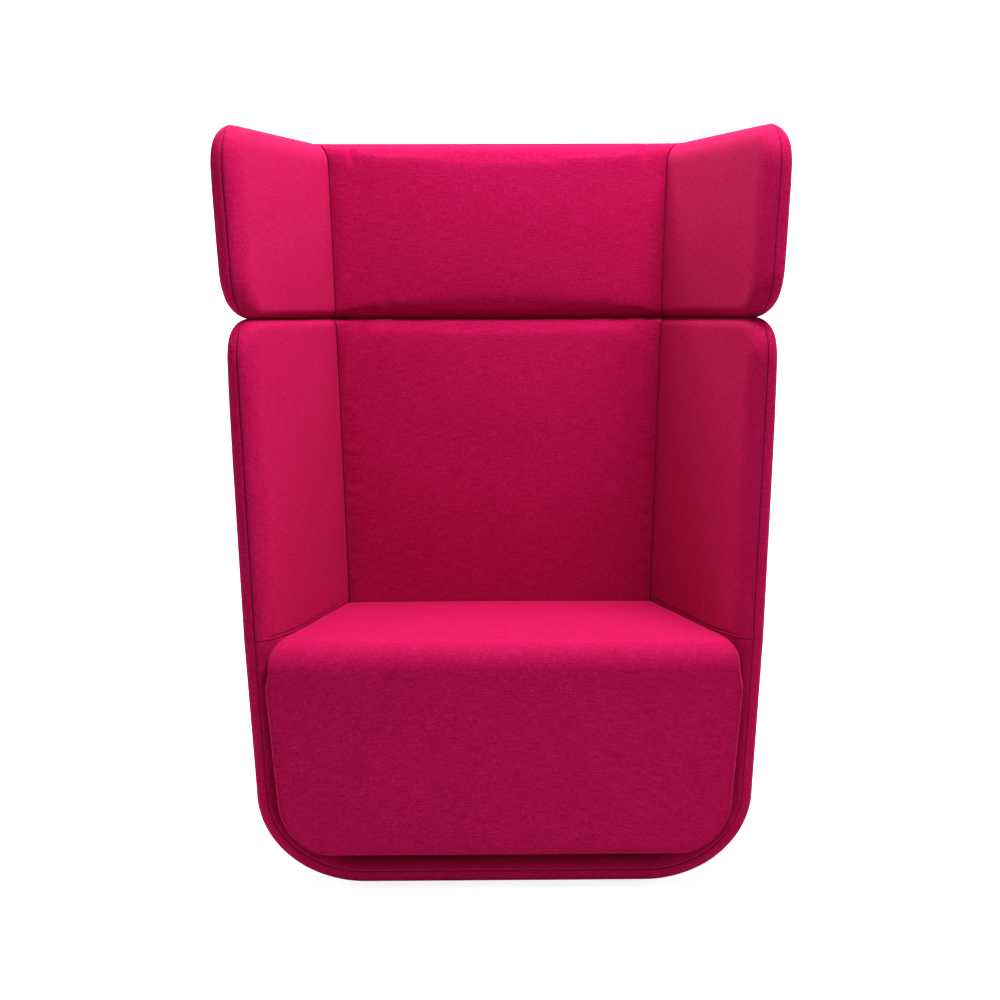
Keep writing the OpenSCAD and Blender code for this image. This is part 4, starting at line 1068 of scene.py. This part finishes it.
def timber(name, code, grain_mm, contrast):
    """Planed timber under no finish: pores and rings drawn out along the grain."""
    m, t = new_material(name)
    # The grain runs 25 times as long as it is wide.
    grain = pattern(t, "ShaderNodeMapping", {"Scale": (1000 / grain_mm, 1000 / grain_mm, 40 / grain_mm)})
    rings = add(t, "ShaderNodeTexNoise", {
        "Scale": 1.0, "Detail": 5.0, "Roughness": 0.65, "Distortion": 0.4}, {"Vector": grain.outputs[0]})
    ramp = add(t, "ShaderNodeValToRGB", (), {0: rings.outputs[0]})
    base = colour(code)
    ramp.color_ramp.elements[0].color = (*[v * (1 - contrast) for v in base[:3]], 1)
    ramp.color_ramp.elements[1].color = base
    coated(t, rings.outputs[0], (0.2, 0.0003), {"Roughness": 0.55}, {"Base Color": ramp.outputs[0]})
    return m


def zinc_steel():
    """Zinc plated mild steel, bright passivated: dull bluish metal with cloudy plating."""
    m, t = new_material("zinc_steel")
    # Crystals of the plating are about 4 mm across.
    cloud = pattern(t, "ShaderNodeTexVoronoi", {"Scale": 1 / 0.004})
    rough = add(
        t, "ShaderNodeMapRange", {"To Min": 0.28, "To Max": 0.46}, {"Value": cloud.outputs["Color"]})
    coated(t, cloud.outputs[0], (0.05, 0.0001), {
        "Base Color": colour(colours().steel), "Metallic": 1.0}, {"Roughness": rough.outputs[0]})
    return m


def webbing():
    """Elastic webbing, woven polypropylene over rubber: ribbed along its length."""
    m, t = new_material("webbing")
    # Ribs about 2.5 mm apart.
    ribs = pattern(t, "ShaderNodeTexWave", {
        "Scale": WAVE / 0.0025, "Distortion": 0.4, "bands_direction": "DIAGONAL"})
    coated(t, ribs.outputs[1], (0.5, 0.0005), {
        "Base Color": colour(colours().webbing), "Roughness": 0.8})
    return m


def base_cloth():
    """Spunbonded polypropylene, point bonded: a thin matt cloth dimpled by its bonding points."""
    m, t = new_material("base_cloth")
    # Bonding points are 1.5 mm apart; drawn at 3 mm to show from below.
    dots = pattern(t, "ShaderNodeTexVoronoi", {"Scale": 1 / 0.003, "Randomness": 0.15})
    coated(t, dots.outputs[0], (0.4, 0.0004), {
        "Base Color": colour(colours().base_cloth), "Roughness": 0.85})
    return m


def moulded_nylon():
    """Glass filled nylon, injection moulded: dark, with a fine spark eroded grain."""
    m, t = new_material("nylon")
    # Grain of about 0.8 mm.
    grain = pattern(t, "ShaderNodeTexNoise", {"Scale": 1 / 0.0008, "Detail": 2.0})
    coated(t, grain.outputs[0], (0.15, 0.0002), {
        "Base Color": colour(colours().nylon), "Roughness": 0.5, "IOR": 1.53})
    return m


FINISHES = {
    "wool_twill": wool_twill,
    "sewing_thread": sewing_thread,
    "plywood": lambda: timber("plywood", colours().plywood, 9, 0.22),
    "beech": lambda: timber("beech", colours().beech, 5, 0.3),
    "zinc_steel": zinc_steel,
    "webbing": webbing,
    "base_cloth": base_cloth,
    "nylon": moulded_nylon,
}
MADE = {}


def material(name):
    """The finish of that name, made once."""
    if name not in MADE:
        MADE[name] = FINISHES[name]()
    return MADE[name]


# Operators


class LOUNGE_OT_fittings(bpy.types.Operator):
    """Finish the boards, rails, steel fittings and glides that the CAD model holds"""

    bl_idname = "lounge.fittings"
    bl_label = "Frame and fittings"
    bl_options = {"REGISTER", "UNDO"}

    def execute(self, context):
        slots = {p["node"]: p["material_slot"] for p in frame["record"]["subparts"]}
        for name, node in frame["nodes"].items():
            if slots[name] in FINISHES:
                node.data.materials.clear()
                node.data.materials.append(material(slots[name]))
        return {"FINISHED"}


class LOUNGE_OT_walls(bpy.types.Operator):
    """Sew the wall section: outer cover, side pads and back pad"""

    bl_idname = "lounge.walls"
    bl_label = "Wall section"
    bl_options = {"REGISTER", "UNDO"}

    def execute(self, context):
        c = chair()
        s, w = section("wall"), sewing()
        low = edge(c.seam_roll, False, 1.0)
        low += [(w.felled + k * w.channel_w, 1.0) for k in STITCH_STATIONS]
        top = edge(c.joint_roll, False)
        outer_cover("wall_cover", s, list(BORDER), edge(c.outer_top_roll, False),
                    ["wall_cover_left", "wall_cover_right", "wall_cover_back"])
        side_pads("wall", "wall_side", s, low, top, wall_topstitching)
        grid = back_pad_grid(seat().seat_h - PAD_BELOW_SEAT, s[3], low, top, top)
        pad("wall_back", grid, ["back_pad", "back_foam"], held=len(EDGE_TURNS))
        return {"FINISHED"}


class LOUNGE_OT_head(bpy.types.Operator):
    """Sew the head section: outer cover, wing pads and head pad"""

    bl_idname = "lounge.head"
    bl_label = "Head section"
    bl_options = {"REGISTER", "UNDO"}

    def execute(self, context):
        c = chair()
        s = section("head")
        low, top = edge(c.joint_roll, False), edge(c.pad_roll)
        outer_cover("head_cover", s, edge(c.outer_top_roll, False), edge(c.outer_top_roll),
                    ["wing_cover_left", "wing_cover_right", "head_cover_back"])
        side_pads("wing", "wing", s, low, top, wing_topstitching)
        grid = back_pad_grid(s[0], s[3], low, edge(c.outer_roll), top)
        pad("head_back", grid, ["head_pad", "head_foam"], rows=[grid[:, -1 - STITCH_STATION]],
            held=len(EDGE_TURNS))
        return {"FINISHED"}


# How far the tub's side linings reach down, to where the seat hides them, and their cells.
SIDE_LINING_H = 0.150
SIDE_LINING_ROWS, SIDE_LINING_COLUMNS = 20, 60
# How far under the pads' face the rim's lining lies, how far behind the rim its board side
# starts, and the rows behind its rounding.
LINING_SINK, LINING_START, LINING_ROWS = 0.0015, 0.003, 4
# The cloth underneath: how far it sags, how far over the CAD cloth's underside it lies, how
# thick it is, and its clearance in the window.
CLOTH_SAG, CLOTH_LIFT, CLOTH_T, CLOTH_GAP = 0.0022, 0.0012, 0.0004, 0.0003
# Points of the cloth underneath, across and along.
CLOTH_ACROSS, CLOTH_ALONG = 34, 44


class LOUNGE_OT_tub(bpy.types.Operator):
    """Sew the tub: outer cover, rim lining, side linings and the cloth underneath"""

    bl_idname = "lounge.tub"
    bl_label = "Tub"
    bl_options = {"REGISTER", "UNDO"}

    def execute(self, context):
        self.cover()
        self.rim_lining()
        for name, side in (("left", -1), ("right", 1)):
            self.side_lining(name, side)
        self.under_cloth()
        return {"FINISHED"}

    def cover(self):
        """The outer cover, which turns in under the tub and leaves a window in the base."""
        rim = len(EDGE_TURNS)
        last = rim + len(tub_depths()) - 1
        outside = tub_cover_grid(0.0)
        count = outside.shape[1]
        margin = len(tub_wall_heights()) + TUB_TURNS

        def window(i, j):
            return rim <= i < last and margin <= j < count - 1 - margin

        inside = tub_cover_grid(chair().cover_t)
        obj = cloth_piece("tub_cover_sewn", outside, inside, window, margin - 1)
        left, right = outside[:, STITCH_STATION], outside[::-1, -1 - STITCH_STATION]
        TOPSTITCH.append((obj, np.concatenate([left, right])))
        upholster(obj, "wool_twill", ["tub_cover"])

    def rim_lining(self):
        """The lining that runs round inside the rim, under the seat's front."""
        c = chair()
        board, face = c.seam_w + c.gap, c.wall_t - LINING_SINK
        rows = [tub_row(c.rim_setback + d, mix(board, face, rise)) for d, rise in edge(c.pad_roll)]
        flat = np.linspace(sewing().spread * c.pad_roll, c.lining_depth, LINING_ROWS)
        rows += [tub_row(c.rim_setback + d, face) for d in flat[1:]]
        inner = np.stack(rows)
        behind = np.linspace(LINING_START, c.lining_depth, len(rows))
        back = np.stack([tub_row(c.rim_setback + d, board) for d in behind])
        obj = cloth_piece("rim_lining_sewn", inner[::-1], back[::-1])
        TOPSTITCH.append((obj, inner[STITCH_STATION]))
        upholster(obj, "wool_twill", ["rim_lining"])

    def side_lining(self, name, side):
        """The lined side of the tub, from its seam down beside the seat."""
        c = chair()
        border = [d for d, _ in reversed(BORDER)]
        drop = list(np.linspace(SIDE_LINING_H, 2 * border[0], SIDE_LINING_ROWS)) + border
        drop = np.array(drop)[None, :]
        start, end = c.rim_setback + c.lining_depth + c.gap, c.seat_depth + c.crease_roll
        p = np.linspace(start, end, SIDE_LINING_COLUMNS)[:, None]
        z = seam_at(p) - drop
        face = leaned(side * (face_x(p, z) + channel(drop)), p, z)
        board = leaned(side * pad_low_x(p, z), p, z)
        if side > 0:
            face, board = face[::-1], board[::-1]
        obj = cloth_piece(f"tub_lining_{name}", face, board)
        upholster(obj, "wool_twill", ["tub_side_pads"])

    def under_cloth(self):
        """A thin cloth stretched over the window in the tub's underside, stapled all round."""
        low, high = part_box("underside_cloth")
        c = chair()
        y = np.linspace(low.y, high.y, CLOTH_ALONG)[None, :]
        half = outer_x(y + mid_y() - low.z * math.tan(c.lean), corner_top_h())
        half = half - c.corner_a - c.under_margin - CLOTH_GAP
        across = np.linspace(0, 1, CLOTH_ACROSS)[:, None]
        sag = CLOTH_SAG * hump(across) * hump((y - low.y) / (high.y - low.y))
        x = (2 * across - 1) * half
        grid = np.stack([x, np.broadcast_to(y, x.shape), low.z + CLOTH_LIFT - sag], -1)
        top = grid + np.array([0, 0, CLOTH_T])
        obj = cloth_piece("under_cloth", grid[::-1], top[::-1])
        upholster(obj, "base_cloth", ["underside_cloth"])


class LOUNGE_OT_seat(bpy.types.Operator):
    """Sew the seat block, from the foot of its front over the crest to the back"""

    bl_idname = "lounge.seat"
    bl_label = "Seat"
    bl_options = {"REGISTER", "UNDO"}

    def execute(self, context):
        grid = seat_grid()
        n, m = grid.shape[:2]
        obj = cloth_piece("seat_block", grid)
        sewn_group(obj, n, m, len(EDGE_TURNS) + 1, len(EDGE_TURNS) + 1)
        swell(obj)
        obj.vertex_groups.clear()
        close_back(obj, n, m)
        upholster(obj, "wool_twill", ["seat_cover", "seat_topper", "seat_foam"])
        TOPSTITCH.append((obj, hem_row()))
        return {"FINISHED"}


class LOUNGE_OT_topstitching(bpy.types.Operator):
    """Sew the rows of topstitching into the covers"""

    bl_idname = "lounge.topstitching"
    bl_label = "Topstitching"
    bl_options = {"REGISTER", "UNDO"}

    def execute(self, context):
        w = sewing()
        depsgraph = bpy.context.evaluated_depsgraph_get()
        trees = {}
        points, faces = [], []
        for obj, path in TOPSTITCH:
            if obj.name not in trees:
                shape = obj.evaluated_get(depsgraph).data
                corners = [v.co for v in shape.vertices]
                trees[obj.name] = BVHTree.FromPolygons(corners, [f.vertices for f in shape.polygons])
            centres = evenly(path, w.stitch_pitch)
            for centre, step in zip(centres, np.gradient(centres, axis=0)):
                self.stitch(trees[obj.name], Vector(centre), Vector(step).normalized(), points, faces)
        mesh = new_mesh("topstitching", points, faces)
        mesh.materials.append(material("sewing_thread"))
        obj = new_object("topstitching", mesh)
        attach(obj, "chair")
        return {"FINISHED"}

    def stitch(self, tree, centre, ahead, points, faces):
        """One stitch: a short thread whose middle lies on the fabric and whose ends dive into it."""
        w = sewing()
        first = len(points)
        for share, rise, girth in STITCH_SHAPE:
            spot, normal, _, _ = tree.find_nearest(centre + ahead * (share * w.stitch / 2))
            beside = normal.cross(ahead).normalized()
            for k in range(STITCH_SIDES):
                a = 2 * math.pi * k / STITCH_SIDES
                off = (math.cos(a) * beside + math.sin(a) * normal) * (girth * w.thread_r)
                points.append(spot + normal * (rise * w.thread_r) + off)
        ring = list(range(STITCH_SIDES))
        for row in range(len(STITCH_SHAPE) - 1):
            near = first + row * STITCH_SIDES
            for k in ring:
                j = (k + 1) % STITCH_SIDES
                faces.append((near + k, near + k + STITCH_SIDES, near + j + STITCH_SIDES, near + j))
        faces.append([first + k for k in ring])
        faces.append([first + (len(STITCH_SHAPE) - 1) * STITCH_SIDES + k for k in reversed(ring)])


# The studio's lamps: the setting of their power, size, place, and the point that they face.
LAMPS = {
    "key": ("key", (1.8, 1.0), (0.2, -0.8, 3.2), (0.0, -0.3, 0.4)),
    "overhead": ("top", (3.4, 0.8), (0.20, 0.36, 3.0), (0.1, 0.30, 0.4)),
    "fill": ("fill", (2.4, 2.4), (-2.6, -2.6, 1.6), (0.0, 0.0, 0.7)),
    "side_left": ("sides", (1.8, 2.2), (-3.0, -0.15, 1.1), (0.0, -0.15, 0.7)),
    "side_right": ("sides", (1.8, 2.2), (3.0, -0.15, 1.1), (0.0, -0.15, 0.7)),
}
# The paper: its front end, where it starts to rise, the radius of that bend, height, half width.
PAPER_FRONT, PAPER_BACK, PAPER_R, PAPER_H, PAPER_HALF = -6.0, 2.0, 1.5, 6.0, 7.0
SENSOR_MM = 36


class LOUNGE_OT_stage(bpy.types.Operator):
    """Set up the floor, the lights and the camera"""

    bl_idname = "lounge.stage"
    bl_label = "Studio"
    bl_options = {"REGISTER", "UNDO"}

    def execute(self, context):
        scene = bpy.context.scene
        scene.view_settings.view_transform = "Standard"
        st = scene.stage_sizes
        self.camera(st)
        self.floor(st)
        self.world(st)
        for name, (power, *rest) in LAMPS.items():
            self.light(name, getattr(st, power), *rest)
        return {"FINISHED"}

    def camera(self, st):
        level = math.cos(st.tilt)
        f = Vector((math.sin(st.turn) * level, math.cos(st.turn) * level, -math.sin(st.tilt)))
        right = Vector((math.cos(st.turn), -math.sin(st.turn), 0))
        up = right.cross(f)
        x = math.cos(st.roll) * right + math.sin(st.roll) * up
        y = math.cos(st.roll) * up - math.sin(st.roll) * right
        data = bpy.data.cameras.new("studio_camera")
        data.lens, data.sensor_width = st.lens, SENSOR_MM
        obj = new_object("studio_camera", data)
        turned = Matrix((x, y, -f)).transposed()
        obj.matrix_world = Matrix.LocRotScale(Vector(st.eye), turned, None)
        bpy.context.scene.camera = obj

    def floor(self, st):
        """A sheet of paper that runs out on the floor and up behind the object."""
        bend = [math.radians(a) for a in range(0, 91, 10)]
        line = [(PAPER_FRONT, 0.0)]
        line += [(PAPER_BACK + PAPER_R * math.sin(a), PAPER_R * (1 - math.cos(a))) for a in bend]
        line += [(PAPER_BACK + PAPER_R, PAPER_H)]
        points = [(x, y, z) for x in (-PAPER_HALF, PAPER_HALF) for y, z in line]
        n = len(line)
        mesh = new_mesh("paper_floor", points, [(k, n + k, n + k + 1, k + 1) for k in range(n - 1)])
        m, t = new_material("studio_paper")
        paper = add(t, "ShaderNodeBsdfDiffuse", {"Color": colour(colours().paper)})
        glow = add(t, "ShaderNodeEmission", {"Color": WHITE, "Strength": st.paper_glow})
        lifted = add(t, "ShaderNodeAddShader", (), {0: paper.outputs[0], 1: glow.outputs[0]})
        surface(t, seen_or(t, lifted, paper))
        mesh.materials.append(m)
        new_object("paper_floor", mesh)

    def world(self, st):
        world = bpy.data.worlds.new("studio")
        bpy.context.scene.world = world
        world.use_nodes = True
        t = world.node_tree
        t.nodes.clear()
        dim = add(t, "ShaderNodeBackground", {"Color": WHITE, "Strength": st.sky})
        white = add(t, "ShaderNodeBackground", {"Color": WHITE, "Strength": 1.0})
        surface(t, seen_or(t, white, dim), "World")

    def light(self, name, power, size, where, towards):
        data = bpy.data.lights.new(name, "AREA")
        data.shape, data.energy = "RECTANGLE", power
        data.size, data.size_y = size
        obj = new_object(name, data)
        obj.location = where
        obj.rotation_euler = (Vector(towards) - Vector(where)).to_track_quat("-Z", "Y").to_euler()


class LOUNGE_PT_panel(bpy.types.Panel):
    """Lists the steps in the 3D view's sidebar."""

    bl_label = "Lounge chair"
    bl_space_type = "VIEW_3D"
    bl_region_type = "UI"
    bl_category = "Lounge chair"

    def draw(self, context):
        for step in STEPS:
            self.layout.operator(step.bl_idname)


GROUPS = {
    "chair_sizes": ChairSizes,
    "seat_sizes": SeatSizes,
    "sewing_sizes": SewingSizes,
    "chair_colours": ChairColours,
    "stage_sizes": StageSizes,
}
STEPS = (
    LOUNGE_OT_fittings, LOUNGE_OT_tub, LOUNGE_OT_walls, LOUNGE_OT_head, LOUNGE_OT_seat,
    LOUNGE_OT_topstitching, LOUNGE_OT_stage)


def register():
    for group in (*GROUPS.values(), *STEPS, LOUNGE_PT_panel):
        bpy.utils.register_class(group)
    for name, group in GROUPS.items():
        setattr(bpy.types.Scene, name, PointerProperty(type=group))


def unregister():
    for name in GROUPS:
        delattr(bpy.types.Scene, name)
    for group in (LOUNGE_PT_panel, *reversed(STEPS), *reversed(list(GROUPS.values()))):
        bpy.utils.unregister_class(group)


def main():
    register()
    for step in STEPS:
        area, name = step.bl_idname.split(".")
        getattr(getattr(bpy.ops, area), name)()


if __name__ == "__main__":
    main()
